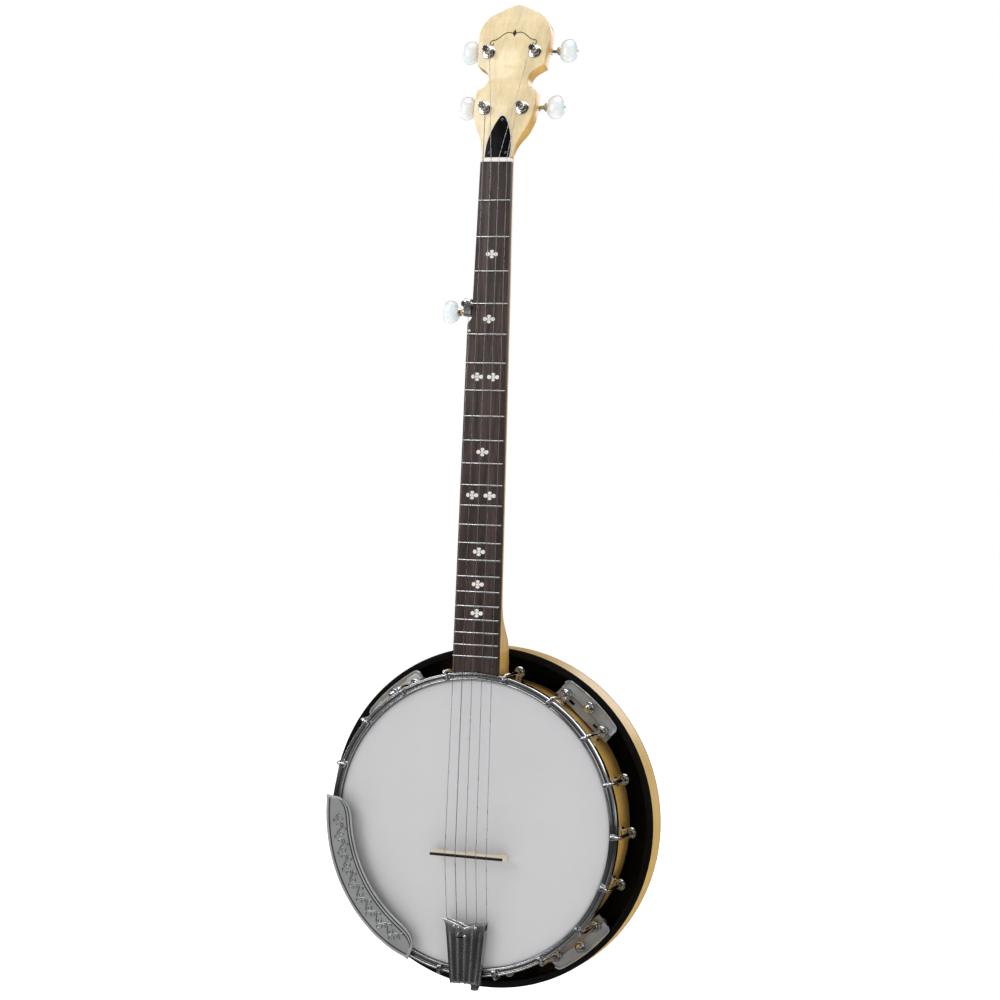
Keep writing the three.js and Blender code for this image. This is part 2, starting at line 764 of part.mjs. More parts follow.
// ---------------------------------------------------------------- bridge, tailpiece, armrest
// Three feet joined by two arches, with the strings across the top edge.
function bridge() {
  const half = BRIDGE_HALF_WIDTH;
  const foot = -HEAD_THICK - GAP;
  const shape = new THREE.Shape();
  shape.moveTo(-half + 1, foot);
  shape.lineTo(-half + 9, foot);
  shape.quadraticCurveTo(-17, foot - 17, -4.5, foot);
  shape.lineTo(4.5, foot);
  shape.quadraticCurveTo(17, foot - 17, half - 9, foot);
  shape.lineTo(half - 1, foot);
  shape.lineTo(half - 1.6, foot - 6);
  shape.lineTo(half, foot - 11);
  shape.lineTo(half - 1, BRIDGE_TOP);
  shape.lineTo(-half + 1, BRIDGE_TOP);
  shape.lineTo(-half, foot - 11);
  shape.lineTo(-half + 1.6, foot - 6);
  const geometry = new THREE.ExtrudeGeometry(shape, {
    depth: BRIDGE_THICK,
    bevelEnabled: false,
    curveSegments: 6,
  });
  return geometry.translate(0, 0, BRIDGE_Z - BRIDGE_THICK / 2);
}

const TAIL_FRONT_Z = -91.2; // the tailpiece's end nearest the bridge
const TAIL_HINGE = { y: -3.6, z: -151.4 };
const TAIL_COVER_FRONT = -12.4;
const lugs = [
  [-16.6, -102],
  [-8.6, -107],
  [0, -111],
  [8.6, -107],
  [16.6, -102],
];

// The base plate, its hinge barrel, the string lugs and the strap that the tail bolt holds.
function tailpieceBase() {
  const base = toSolid(
    plate(
      outline([
        [-21.4, TAIL_FRONT_Z - 1],
        [-20.6, -101],
        [-17.7, -103],
        [-12.4, -149],
        [12.4, -149],
        [17.7, -103],
        [20.6, -101],
        [21.4, TAIL_FRONT_Z - 1],
      ]),
      -5.2,
      1.5,
    ),
  );
  const parts = [base, rod("x", 1.6, -13.2, 13.2, TAIL_HINGE.y, TAIL_HINGE.z, 10)];
  parts.push(box([-12.4, -6.7, -152], [12.4, -3.6, -148.6]));
  const strap = box([-6, -5, -152.2], [6, ROD_Y + 8, -149.2]);
  parts.push(strap.subtract(rod("z", ROD_RADIUS + 0.5, -170, -140, 0, ROD_Y)));
  lugs.forEach(([x, z]) => {
    parts.push(rod("y", 1.1, -9.6, -6, x, z, 8));
  });
  return join(parts);
}

// The lid tapers to the tail, where its skirt wraps the hinge barrel either side of the strap.
function tailpieceCover() {
  const lid = toSolid(
    plate(
      outline([
        [-22.8, TAIL_FRONT_Z],
        [-20, TAIL_FRONT_Z - 10],
        [-14.6, -155],
        [14.6, -155],
        [20, TAIL_FRONT_Z - 10],
        [22.8, TAIL_FRONT_Z],
        [9, TAIL_FRONT_Z - 3],
        [0, TAIL_FRONT_Z - 8],
        [-9, TAIL_FRONT_Z - 3],
      ]),
      TAIL_COVER_FRONT + 1.2,
      1.2,
    ),
  );
  const parts = [lid];
  [-1, 1].forEach((side) => {
    const wall = outline([
      [side * 18.6, -104],
      [side * 19.8, -104],
      [side * 14.6, -155],
      [side * 13.4, -155],
    ]);
    const skirt = toSolid(plate(wall, -4.4, -TAIL_COVER_FRONT - 5, 2));
    parts.push(skirt);
    const near = Math.min(side * 7, side * 14.6);
    const far = Math.max(side * 7, side * 14.6);
    parts.push(box([near, TAIL_COVER_FRONT + 0.6, -155], [far, -1, -153.8]));
  });
  [-7, 0, 7].forEach((x) => {
    parts.push(rod("z", 1.3, -154.6, -104, x, TAIL_COVER_FRONT + 0.2, 6));
  });
  return join(parts);
}

// The armrest's outline round the pot, as degrees and radius: its outer edge, then its inner edge back.
const ARM_OUTER_EDGE = [
  [-83.6, 151.4],
  [-88, 151],
  [-94, 150.5],
  [-100, 150.3],
  [-108, 150.3],
  [-116, 150.3],
  [-124, 150.3],
  [-132, 150.3],
  [-140, 150.3],
  [-147, 149.9],
  [-152, 149.2],
  [-156.4, 148.2],
];
const ARM_INNER_EDGE = [
  [-156, 139.4],
  [-155.6, 131.7],
  [-153.6, 126.2],
  [-149.5, 122.5],
  [-142, 121],
  [-134, 120.6],
  [-126, 120.6],
  [-118, 120.7],
  [-110, 121],
  [-102, 121.4],
  [-94, 122],
  [-88.7, 123],
  [-84.9, 128],
  [-83.6, 133.3],
  [-82.8, 138.5],
];

// A crescent over the hooks' heads, with a lip along its outer edge and two feet under the hoop.
function armrest() {
  const flat = (degrees, radius) => {
    const point = polar(degrees, radius, 0);
    return [point.x, point.z];
  };
  const outer = ARM_OUTER_EDGE.map(([degrees, radius]) => flat(degrees, radius));
  const inner = ARM_INNER_EDGE.map(([degrees, radius]) => flat(degrees, radius));
  const lipInner = ARM_OUTER_EDGE.map(([degrees, radius]) => flat(degrees, radius - ARM_LIP));
  const top = plate(outline([...outer, ...inner].reverse()), ARM_FRONT + ARM_THICK, ARM_THICK);
  const lip = plate(
    outline([...outer, ...lipInner.reverse()].reverse()),
    ARM_LIP_BACK,
    ARM_LIP_BACK - ARM_FRONT,
  );
  let body = toSolid(top).add(toSolid(lip));
  const foot = join([
    box([-4, ARM_FRONT + 0.5, HOOP_OUTER + 0.5], [4, 11, HOOP_OUTER + 2.3]),
    box([-4, HOOP_BACK + 0.8, 143.6], [4, 11, HOOP_OUTER + 1]),
  ]);
  ARM_FOOT_DEG.forEach((angle) => {
    body = body.add(moved(foot, about(angle)));
  });
  return body;
}

add(pot, "bridge", bridge(), MAPLE);
add(pot, "tailpiece_base", tailpieceBase(), CHROME);
add(pot, "tailpiece_cover", tailpieceCover(), CHROME);
add(pot, "armrest", armrest(), BRUSHED);

// ---------------------------------------------------------------- strings
const gauges = { 1: 0.3, 2: 0.3, 3: 0.33, 4: 0.42, 5: 0.3 }; // radii, a little over the real ones

function inPot(matrix, x, y, z) {
  return new THREE.Vector3(x, y, z).applyMatrix4(matrix);
}

// From its lug in the tailpiece over the bridge to the nut, or to the pip for the fifth string.
function stringStart(number, radius) {
  const across = 3 - number; // from -2 for the fifth string to 2 for the first
  const [lugX, lugZ] = lugs[across + 2];
  const over = BRIDGE_TOP - GAP - radius;
  return [
    new THREE.Vector3(lugX + Math.sign(across) * 0.6, -8.2, lugZ + 1.8),
    new THREE.Vector3(across * STRING_TAIL_PITCH, -8.9, TAIL_FRONT_Z - 0.6),
    new THREE.Vector3(across * STRING_BRIDGE_PITCH, over, BRIDGE_Z),
  ];
}

posts.forEach(({ x, z, side, string }) => {
  const radius = gauges[string];
  const points = stringStart(string, radius);
  const nutX = (2.5 - string) * STRING_NUT_PITCH;
  const over = -NUT_STAND - GAP - radius;
  points.push(inPot(neckToPot, nutX, over, 0.6));
  points.push(inPot(neckToPot, nutX, over, NUT_THICK - 0.4));
  points.push(inPot(pegToPot, side * (x - POST_RADIUS - GAP - radius), -6.6, z));
  add(pot, `string_${string}`, wire(points, radius, 6), STEEL);
});

const fifthPoints = stringStart(5, gauges[5]);
fifthPoints.push(inPot(neckToPot, -19.9, -2.5, 3.3 - fretDistance(5)));
fifthPoints.push(inPot(neckToPot, FIFTH.x + 3, -5.4, FIFTH.z - 0.4));
add(pot, "string_5", wire(fifthPoints, gauges[5], 6), STEEL);

export default banjo;
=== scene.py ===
import json
from math import atan2, cos, pi, radians, sin, sqrt

import bpy
from bpy.props import FloatProperty, FloatVectorProperty, IntProperty, PointerProperty
from mathutils import Matrix, Vector


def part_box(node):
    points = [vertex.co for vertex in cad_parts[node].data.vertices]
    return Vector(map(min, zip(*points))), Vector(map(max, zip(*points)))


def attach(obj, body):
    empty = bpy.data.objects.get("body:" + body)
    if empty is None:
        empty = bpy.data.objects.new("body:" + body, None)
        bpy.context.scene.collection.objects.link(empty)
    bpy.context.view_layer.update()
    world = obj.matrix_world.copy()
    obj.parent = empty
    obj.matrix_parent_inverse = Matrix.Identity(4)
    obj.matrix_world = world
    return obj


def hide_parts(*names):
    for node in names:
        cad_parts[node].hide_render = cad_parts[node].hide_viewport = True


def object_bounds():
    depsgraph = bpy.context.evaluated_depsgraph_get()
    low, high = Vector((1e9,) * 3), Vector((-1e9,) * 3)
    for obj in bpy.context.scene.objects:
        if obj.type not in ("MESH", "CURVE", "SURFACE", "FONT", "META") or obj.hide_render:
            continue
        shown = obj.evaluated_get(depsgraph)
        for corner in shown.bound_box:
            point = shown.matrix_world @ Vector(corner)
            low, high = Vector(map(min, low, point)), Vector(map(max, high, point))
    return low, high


bl_info = {
    "name": "Resonator banjo",
    "version": (1, 0, 0),
    "blender": (4, 5, 0),
    "location": "View3D > Sidebar > Banjo",
    "description": "Builds the visible pieces of a five-string resonator banjo round its design frame",
    "category": "Object",
}

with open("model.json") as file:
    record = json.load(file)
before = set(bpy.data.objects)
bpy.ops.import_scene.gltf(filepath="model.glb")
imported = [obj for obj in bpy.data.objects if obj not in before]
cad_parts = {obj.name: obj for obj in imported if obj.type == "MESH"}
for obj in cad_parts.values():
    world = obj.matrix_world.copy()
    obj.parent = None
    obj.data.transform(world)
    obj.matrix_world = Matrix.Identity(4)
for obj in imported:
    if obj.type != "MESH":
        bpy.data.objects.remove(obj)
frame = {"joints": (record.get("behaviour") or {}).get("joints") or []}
CAD_BOX = [list(corner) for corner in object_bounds()]
MM = 0.001
ROUND = 192  # steps round the pot


# ---------------------------------------------------------------- places, worked out from the frame
def joint(name):
    return next(found for found in frame["joints"] if found["name"] == name)


def tilted(joint_name, local):
    """The matrix of a frame pitched about X, from a joint whose axis is its Y and whose place in it is
    known."""
    found = joint(joint_name)
    axis = Vector(found["axis"])
    turn = Matrix.Rotation(atan2(axis.z, axis.y), 4, "X")
    origin = Vector(found["pos_m"]) - turn.to_3x3() @ (Vector(local) * MM)
    return Matrix.Translation(origin) @ turn


UPPER_POST = (24.0, 113.0)  # across and up the peghead's face, in millimetres
LOWER_POST = (19.4, 53.0)
FIFTH_POST = (-24.0, -138.0)
HEAD_SKIN = 0.5
hoop_low, hoop_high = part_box("tension_hoop")
POT = Matrix.Translation(
    ((hoop_low.x + hoop_high.x) / 2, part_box("head")[0].y + HEAD_SKIN * MM, (hoop_low.z + hoop_high.z) / 2)
)
NECK = tilted("tuner_5_post_turn", (FIFTH_POST[0], 0, FIFTH_POST[1]))
PEG = tilted("tuner_1_post_turn", (LOWER_POST[0], 0, LOWER_POST[1]))
NECK_TO_POT = POT.inverted() @ NECK
PEG_TO_POT = POT.inverted() @ PEG

SCALE_LENGTH = 665.2
FRETS = 22
NUT_HALF = 15.9
END_HALF = 23.6
BOARD_LENGTH = 500.0
BOARD_THICK = 6.0
STEP_START = 150.0
STEP_END = 158.0
STEP_HALF = 22.5
PEG_THICK = 15.0
NUT_TOP = 3.9
WORM_UP = 10.0
WORM_BACK = 20.3
HOOP_OUTER = (hoop_high.x - hoop_low.x) / 2 / MM
HOOP_INNER = 140.6
HOOP_FRONT = (hoop_low.y - POT.translation.y) / MM
HOOP_BACK = (hoop_high.y - POT.translation.y) / MM
RIM_OUTER = 139.0
RIM_INNER = 121.0
RIM_FRONT = 6.9
RIM_BACK = 66.0
HOOK_RADIUS = 150.3
SHOE_FRONT = 33.0
SHOE_BACK = 39.0
RESONATOR_OUTER = (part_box("resonator")[1].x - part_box("resonator")[0].x) / 2 / MM
RESONATOR_FRONT = (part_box("resonator")[0].y - POT.translation.y) / MM
RESONATOR_BACK = (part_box("resonator")[1].y - POT.translation.y) / MM
RESONATOR_INSIDE = RESONATOR_OUTER - 6.2
RESONATOR_EDGE = 71.0
THUMB_DISTANCE = 155.0
THUMB_SCREWS = ["upper_right", "upper_left", "lower_right", "lower_left"]
ROD_BACK = 20.0
BRIDGE_Z = -29.6
BRIDGE_TOP = (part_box("bridge")[0].y - POT.translation.y) / MM
STRING_TAIL = 10.4
STRING_BRIDGE = 10.75
STRING_NUT = 8.27
TAIL_FRONT = -91.2
TAIL_LID = -12.4
LUGS = [(-16.6, -102.0), (-8.6, -107.0), (0.0, -111.0), (8.6, -107.0), (16.6, -102.0)]
GAUGES = {1: 0.24, 2: 0.25, 3: 0.28, 4: 0.36, 5: 0.24}
PEG_STRINGS = {4: (-1, LOWER_POST), 3: (-1, UPPER_POST), 2: (1, UPPER_POST), 1: (1, LOWER_POST)}


# ---------------------------------------------------------------- modelling moves
def deselect():
    bpy.ops.object.select_all(action="DESELECT")


def choose(*pieces):
    deselect()
    for piece in pieces:
        piece.select_set(True)
    bpy.context.view_layer.objects.active = pieces[0]


def named(name):
    piece = bpy.context.active_object
    piece.name = name
    piece.data.name = name
    return piece


def edit(piece):
    choose(piece)
    bpy.ops.object.mode_set(mode="EDIT")
    bpy.ops.mesh.select_all(action="SELECT")


def done():
    bpy.ops.object.mode_set(mode="OBJECT")


def place(piece, matrix):
    """Puts a piece that was made in its own frame into the row's frame, with its place in its mesh."""
    choose(piece)
    piece.matrix_world = matrix @ piece.matrix_world
    bpy.ops.object.transform_apply(location=True, rotation=True, scale=True)
    return piece


def modifier(piece, kind, **settings):
    choose(piece)
    made = piece.modifiers.new(kind.title(), kind)
    for key, value in settings.items():
        setattr(made, key, value)
    bpy.ops.object.modifier_apply(modifier=made.name)
    return piece


def bevel(piece, width, segments=2, angle=32):
    return modifier(
        piece, "BEVEL", width=width * MM, segments=segments, limit_method="ANGLE", angle_limit=radians(angle)
    )


def smooth(piece, angle=38):
    choose(piece)
    bpy.ops.object.shade_smooth_by_angle(angle=radians(angle))
    return piece


def cut(piece, *cutters):
    for cutter in cutters:
        modifier(piece, "BOOLEAN", operation="DIFFERENCE", object=cutter, solver="EXACT")
        bpy.data.objects.remove(cutter)
    return piece


def join(name, pieces):
    choose(*pieces)
    bpy.ops.object.join()
    return named(name)


def copy(piece, name, matrix):
    choose(piece)
    bpy.ops.object.duplicate(linked=False)
    return place(named(name), matrix)


def outward(piece):
    edit(piece)
    bpy.ops.mesh.remove_doubles(threshold=1e-6)
    bpy.ops.mesh.normals_make_consistent(inside=False)
    done()
    return piece


def slab(name, points, back, front, edge=0.0, segments=2):
    """An outline of (x, z) points extruded along Y from back to front, with its edges rounded."""
    deselect()
    bpy.ops.mesh.primitive_circle_add(vertices=len(points), radius=1, fill_type="NGON")
    piece = named(name)
    for corner, (x, z) in zip(piece.data.vertices, points):
        corner.co = (x * MM, back * MM, z * MM)
    edit(piece)
    bpy.ops.mesh.extrude_region_move(TRANSFORM_OT_translate={"value": (0, (front - back) * MM, 0)})
    done()
    outward(piece)
    if edge:
        bevel(piece, edge, segments, 40)
    return smooth(piece)


def turned(name, profile, steps=32, axis="Y", edge=0.0):
    """A profile of (radius, height) points spun about an axis. A stretch that lies on the axis makes no
    wall."""
    deselect()
    bpy.ops.mesh.primitive_circle_add(vertices=len(profile), radius=1, fill_type="NOTHING")
    piece = named(name)
    for corner, (radius, height) in zip(piece.data.vertices, profile):
        where = {"X": (height, radius, 0), "Y": (radius, height, 0), "Z": (radius, 0, height)}[axis]
        corner.co = [value * MM for value in where]
    edit(piece)
    bpy.ops.mesh.select_all(action="DESELECT")
    bpy.ops.mesh.select_mode(type="EDGE")
    done()
    for side in piece.data.edges:
        side.select = all(profile[index][0] == 0 for index in side.vertices)
    bpy.ops.object.mode_set(mode="EDIT")
    bpy.ops.mesh.delete(type="EDGE_FACE")
    bpy.ops.mesh.select_mode(type="VERT")
    bpy.ops.mesh.select_all(action="SELECT")
    direction = {"X": (1, 0, 0), "Y": (0, 1, 0), "Z": (0, 0, 1)}[axis]
    bpy.ops.mesh.spin(steps=steps, angle=2 * pi, center=(0, 0, 0), axis=direction)
    done()
    outward(piece)
    if edge:
        bevel(piece, edge, 2, 40)
    return smooth(piece)


def drum(name, radius, low, high, axis="Y", at=(0, 0), sides=24, edge=0.0):
    """A cylinder from low to high along an axis, with the other two coordinates in X, Y, Z order."""
    middle = (low + high) / 2
    a, b = at
    where = {"X": (middle, a, b), "Y": (a, middle, b), "Z": (a, b, middle)}[axis]
    turn = {"X": (0, pi / 2, 0), "Y": (pi / 2, 0, 0), "Z": (0, 0, 0)}[axis]
    deselect()
    bpy.ops.mesh.primitive_cylinder_add(
        vertices=sides, radius=radius * MM, depth=abs(high - low) * MM, location=[
            v * MM
            for v in where
        ], rotation=turn
    )
    piece = place(named(name), Matrix.Identity(4))
    if edge:
        bevel(piece, edge, 2, 40)
    return smooth(piece)


def block(name, low, high, edge=0.0, segments=2):
    """A cube stretched between two corners, with its edges rounded."""
    size = [(b - a) * MM for a, b in zip(low, high)]
    middle = [(a + b) / 2 * MM for a, b in zip(low, high)]
    deselect()
    bpy.ops.mesh.primitive_cube_add(size=1, location=middle, scale=size)
    piece = place(named(name), Matrix.Identity(4))
    if edge:
        bevel(piece, edge, segments, 40)
    return smooth(piece)


def tube(name, points, radius, sides=5):
    """A round wire along a list of points in millimetres, with closed ends."""
    deselect()
    bpy.ops.curve.primitive_nurbs_path_add()
    path = named(name)
    spline = path.data.splines[0]
    spline.type = "POLY"
    spline.points.add(len(points) - len(spline.points))
    for node, point in zip(spline.points, points):
        node.co = (*[value * MM for value in point], 1)
    path.data.dimensions = "3D"
    path.data.bevel_depth = radius * MM
    path.data.bevel_resolution = sides
    path.data.use_fill_caps = True
    choose(path)
    bpy.ops.object.convert(target="MESH")
    return smooth(outward(place(named(name), Matrix.Identity(4))), 60)


def loft(name, rings):
    """A cylinder cut into rings whose corners are then set out on the given (x, y, z) points."""
    count = len(rings[0])
    last = len(rings) - 1
    deselect()
    bpy.ops.mesh.primitive_cylinder_add(vertices=count, radius=1, depth=1, end_fill_type="NGON")
    piece = named(name)
    for level in range(1, last):
        edit(piece)
        bpy.ops.mesh.bisect(plane_co=(0, 0, level / last - 0.5), plane_no=(0, 0, 1))
        done()
    for corner in piece.data.vertices:
        level = round((corner.co.z + 0.5) * last)
        index = round(atan2(corner.co.x, corner.co.y) / (2 * pi) * count) % count
        corner.co = [value * MM for value in rings[level][index]]
    return outward(piece)


def flowing(points, each=6):
    """A smooth run of points through the given ones."""
    out = []
    last = len(points) - 1
    for i in range(last):
        p = [Vector(points[max(0, min(last, i + k))]) for k in (-1, 0, 1, 2)]
        for step in range(each):
            t = step / each
            out.append(
                0.5
                * (
                    2 * p[1]
                    + (p[2] - p[0]) * t
                    + (2 * p[0] - 5 * p[1] + 4 * p[2] - p[3]) * t**2
                    + (3 * p[1] - p[0] - 3 * p[2] + p[3]) * t**3
                )
            )
    out.append(Vector(points[-1]))
    return [tuple(point) for point in out]


def about(degrees):
    """A turn round the pot, counted from +Z towards +X."""
    return POT @ Matrix.Rotation(radians(degrees), 4, "Y")


def finished(piece, look, body, slot_name, *nodes):
    """The last step of a piece: its finish, the body that it rides on and the design nodes that it stands
    for."""
    material = Finishes.get(look)
    piece.data.materials.clear()
    piece.data.materials.append(material)
    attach(piece, body)
    if nodes:
        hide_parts(*nodes)
    return piece


# ---------------------------------------------------------------- finishes
class Recipe:
    """A material's node tree, built from its Principled shader outwards."""

    def __init__(self, name, **sockets):
        self.material = bpy.data.materials.new(name)
        self.material.use_nodes = True
        self.tree = self.material.node_tree
        self.shader = self.tree.nodes["Principled BSDF"]
        for key, value in sockets.items():
            self.shader.inputs[key.replace("_", " ").title().replace("Ior", "IOR")].default_value = value

    def node(self, kind, **settings):
        made = self.tree.nodes.new(kind)
        for key, value in settings.items():
            setattr(made, key, value)
        return made

    def link(self, out, socket):
        self.tree.links.new(out, socket)

    def coordinates(self, scale=(1, 1, 1), turn=(0, 0, 0), shift=(0, 0, 0)):
        source = self.node("ShaderNodeTexCoord")
        mapping = self.node("ShaderNodeMapping")
        mapping.inputs["Scale"].default_value = scale
        mapping.inputs["Rotation"].default_value = turn
        mapping.inputs["Location"].default_value = shift
        self.link(source.outputs["Object"], mapping.inputs["Vector"])
        return mapping.outputs["Vector"]

    def noise(self, vector, scale, detail=4.0, roughness=0.5, distortion=0.0):
        made = self.node("ShaderNodeTexNoise")
        self.link(vector, made.inputs["Vector"])
        made.inputs["Scale"].default_value = scale
        made.inputs["Detail"].default_value = detail
        made.inputs["Roughness"].default_value = roughness
        made.inputs["Distortion"].default_value = distortion
        return made.outputs["Fac"]

    def cells(self, vector, scale, feature="F1", output="Distance"):
        made = self.node("ShaderNodeTexVoronoi", feature=feature)
        self.link(vector, made.inputs["Vector"])
        made.inputs["Scale"].default_value = scale
        return made.outputs[output]

    def wave(self, vector, scale, distortion=2.0, direction="X", detail=2.0):
        made = self.node("ShaderNodeTexWave", bands_direction=direction)
        self.link(vector, made.inputs["Vector"])
        made.inputs["Scale"].default_value = scale
        made.inputs["Distortion"].default_value = distortion
        made.inputs["Detail"].default_value = detail
        return made.outputs["Fac"]

    def ramp(self, value, *stops):
        made = self.node("ShaderNodeValToRGB")
        self.link(value, made.inputs["Fac"])
        bar = made.color_ramp.elements
        while len(bar) < len(stops):
            bar.new(0.5)
        for stop, (position, colour) in zip(bar, stops):
            stop.position = position
            shade = (colour, colour, colour) if isinstance(colour, float) else tuple(colour)
            stop.color = (*shade[:3], 1)
        return made.outputs["Color"]

    def mix(self, factor, first, second, kind="MIX"):
        made = self.node("ShaderNodeMix", data_type="RGBA", blend_type=kind)
        for socket, value in (
            (made.inputs["Factor"], factor), (made.inputs[6], first), (made.inputs[7], second)
        ):
            if isinstance(value, (float, int)):
                socket.default_value = value
            elif isinstance(value, (tuple, list)):
                socket.default_value = (*value[:3], 1)
            else:
                self.link(value, socket)
        return made.outputs[2]

    def between(self, value, low, high):
        made = self.node("ShaderNodeMapRange")
        self.link(value, made.inputs["Value"])
        made.inputs["To Min"].default_value = low
        made.inputs["To Max"].default_value = high
        return made.outputs["Result"]

    def depth(self, front, back):
        """0 to 1 between two distances behind the drum head, in millimetres."""
        parts = self.node("ShaderNodeSeparateXYZ")
        self.link(self.coordinates(), parts.inputs[0])
        made = self.node("ShaderNodeMapRange")
        self.link(parts.outputs["Y"], made.inputs["Value"])
        made.inputs["From Min"].default_value = POT.translation.y + front * MM
        made.inputs["From Max"].default_value = POT.translation.y + back * MM
        return made.outputs["Result"]

    def bump(self, height, strength, distance, below=None):
        made = self.node("ShaderNodeBump")
        self.link(height, made.inputs["Height"])
        made.inputs["Strength"].default_value = strength
        made.inputs["Distance"].default_value = distance * MM
        if below:
            self.link(below, made.inputs["Normal"])
        return made.outputs["Normal"]

    def set(self, socket, value):
        self.link(value, self.shader.inputs[socket])


def darker(colour, share):
    return tuple(channel * share for channel in colour[:3])


def lacquered_maple(name, colour, along, curl=0.5, coat=0.6):
    """Maple under clear lacquer. along is the axis that the grain runs on: X, Z, or Y for rings round the
    pot."""
    stretch = {"Z": (70, 70, 5), "X": (5, 70, 70), "Y": (6, 160, 6)}[along]
    recipe = Recipe(name, roughness=0.34, coat_weight=coat, coat_roughness=0.09, ior=1.5)
    grain = recipe.noise(recipe.coordinates(stretch), 1.0, 6.0, 0.6, 0.4)
    fine = recipe.noise(recipe.coordinates(tuple(value * 5 for value in stretch)), 1.0, 3.0, 0.55)
    tone = recipe.ramp(grain, (0.3, darker(colour, 0.80)), (0.52, colour[:3]), (0.75, darker(colour, 1.07)))
    across = {"Z": (8, 8, 90), "X": (90, 8, 8), "Y": (60, 14, 60)}[along]
    flame = recipe.noise(recipe.coordinates(across, turn=(0.1, 0.15, 0)), 1.0, 2.0, 0.45, 0.9)
    flamed = recipe.mix(curl, tone, recipe.ramp(flame, (0.36, 0.72), (0.6, 1.0)), "MULTIPLY")
    flecked = recipe.mix(0.22, flamed, recipe.ramp(fine, (0.38, 0.62), (0.55, 1.0)), "MULTIPLY")
    clouds = recipe.noise(recipe.coordinates((9, 9, 9)), 1.0, 2.0)
    recipe.set(
        "Base Color", recipe.mix(0.25, flecked, recipe.ramp(clouds, (0.35, 0.82), (0.65, 1.0)), "MULTIPLY")
    )
    recipe.set("Roughness", recipe.between(fine, 0.28, 0.42))
    recipe.set("Normal", recipe.bump(grain, 0.12, 0.12, recipe.bump(fine, 0.1, 0.05)))
    return recipe.material


def rosewood(name, colour):
    recipe = Recipe(name, roughness=0.5, ior=1.5)
    streaks = recipe.noise(recipe.coordinates((110, 110, 6)), 1.0, 7.0, 0.62, 0.5)
    pores = recipe.noise(recipe.coordinates((900, 900, 45)), 1.0, 2.0, 0.6)
    base = recipe.ramp(
        streaks, (
            0.3, darker(colour, 0.45)
        ), (0.47, colour[:3]), (0.6, darker(colour, 1.7)), (0.75, darker(colour, 0.8))
    )
    recipe.set("Base Color", recipe.mix(0.6, base, recipe.ramp(pores, (0.4, 0.35), (0.52, 1.0)), "MULTIPLY"))
    recipe.set("Roughness", recipe.between(pores, 0.62, 0.42))
    recipe.set("Normal", recipe.bump(pores, 0.35, 0.12))
    return recipe.material


def plated(name, colour, roughness=0.07, metallic=1.0):
    """Bright plating with faint handling marks and a slight ripple from polishing."""
    recipe = Recipe(name, metallic=metallic, roughness=roughness, base_color=(*colour[:3], 1))
    smears = recipe.noise(recipe.coordinates((40, 40, 40)), 1.0, 5.0, 0.65, 0.6)
    ripple = recipe.noise(recipe.coordinates((220, 220, 220)), 1.0, 2.0)
    recipe.set("Roughness", recipe.between(smears, roughness * 0.5, roughness * 2.1))
    recipe.set("Base Color", recipe.ramp(smears, (0.25, darker(colour, 0.86)), (0.6, colour[:3])))
    recipe.set("Normal", recipe.bump(ripple, 0.05, 0.05))
    return recipe.material


def brushed(name, colour, turn=(0, 0, 0)):
    """Metal brushed one way, its raised borders at full brightness and painted shade darkening its panel and
    grooves.
    """
    recipe = Recipe(name, metallic=0.5, roughness=0.34, base_color=(*colour[:3], 1))
    strokes = recipe.noise(recipe.coordinates((45, 400, 900), turn), 1.0, 4.0, 0.7)
    wear = recipe.noise(recipe.coordinates((30, 30, 30)), 1.0, 4.0, 0.6, 0.5)
    tone = recipe.ramp(wear, (0.3, darker(colour, 0.78)), (0.6, colour[:3]), (0.8, darker(colour, 1.15)))
    # painted shade: the base colour is darkened by depth behind the raised border, darkest in the grooves
    depth = recipe.depth(-13.1, -11.1)
    painted_recess_shade = recipe.ramp(depth, (0.05, 1.0), (0.28, 0.88), (0.50, 0.72), (0.72, 0.16), (1.0, 0.12))
    recipe.set("Base Color", recipe.mix(1.0, tone, painted_recess_shade, "MULTIPLY"))
    recipe.set("Roughness", recipe.between(strokes, 0.24, 0.46))
    recipe.set("Normal", recipe.bump(strokes, 0.22, 0.06))
    return recipe.material


def fluted(name, colour, front, back):
    """Bright plating with painted shade darkening its flutes in their depths, front and back being how far
    they reach.
    """
    recipe = Recipe(name, metallic=0.85, roughness=0.15, base_color=(*colour[:3], 1))
    smears = recipe.noise(recipe.coordinates((60, 60, 12)), 1.0, 5.0, 0.65, 0.8)
    tone = recipe.ramp(smears, (0.3, darker(colour, 0.55)), (0.5, darker(colour, 0.85)), (0.68, colour[:3]))
    # painted shade: the base colour is darkened towards the depths of the flutes
    painted_recess_shade = recipe.ramp(
        recipe.depth(front, back), (0.0, 1.0), (0.18, 0.75), (0.45, 0.5), (0.8, 0.22), (1.0, 0.6)
    )
    recipe.set("Base Color", recipe.mix(1.0, tone, painted_recess_shade, "MULTIPLY"))
    recipe.set("Roughness", recipe.between(smears, 0.1, 0.26))
    return recipe.material


def black_lacquer(name, colour):
    recipe = Recipe(name, roughness=0.2, base_color=(*colour[:3], 1))
    recipe.shader.inputs["Specular IOR Level"].default_value = 0.10
    peel = recipe.noise(recipe.coordinates((160, 160, 160)), 1.0, 2.0)
    dust = recipe.noise(recipe.coordinates((22, 22, 22)), 1.0, 5.0, 0.7)
    recipe.set("Base Color", recipe.ramp(dust, (0.35, colour[:3]), (0.8, darker(colour, 1.9))))
    recipe.set("Roughness", recipe.between(dust, 0.16, 0.3))
    recipe.set("Normal", recipe.bump(peel, 0.08, 0.06))
    return recipe.material


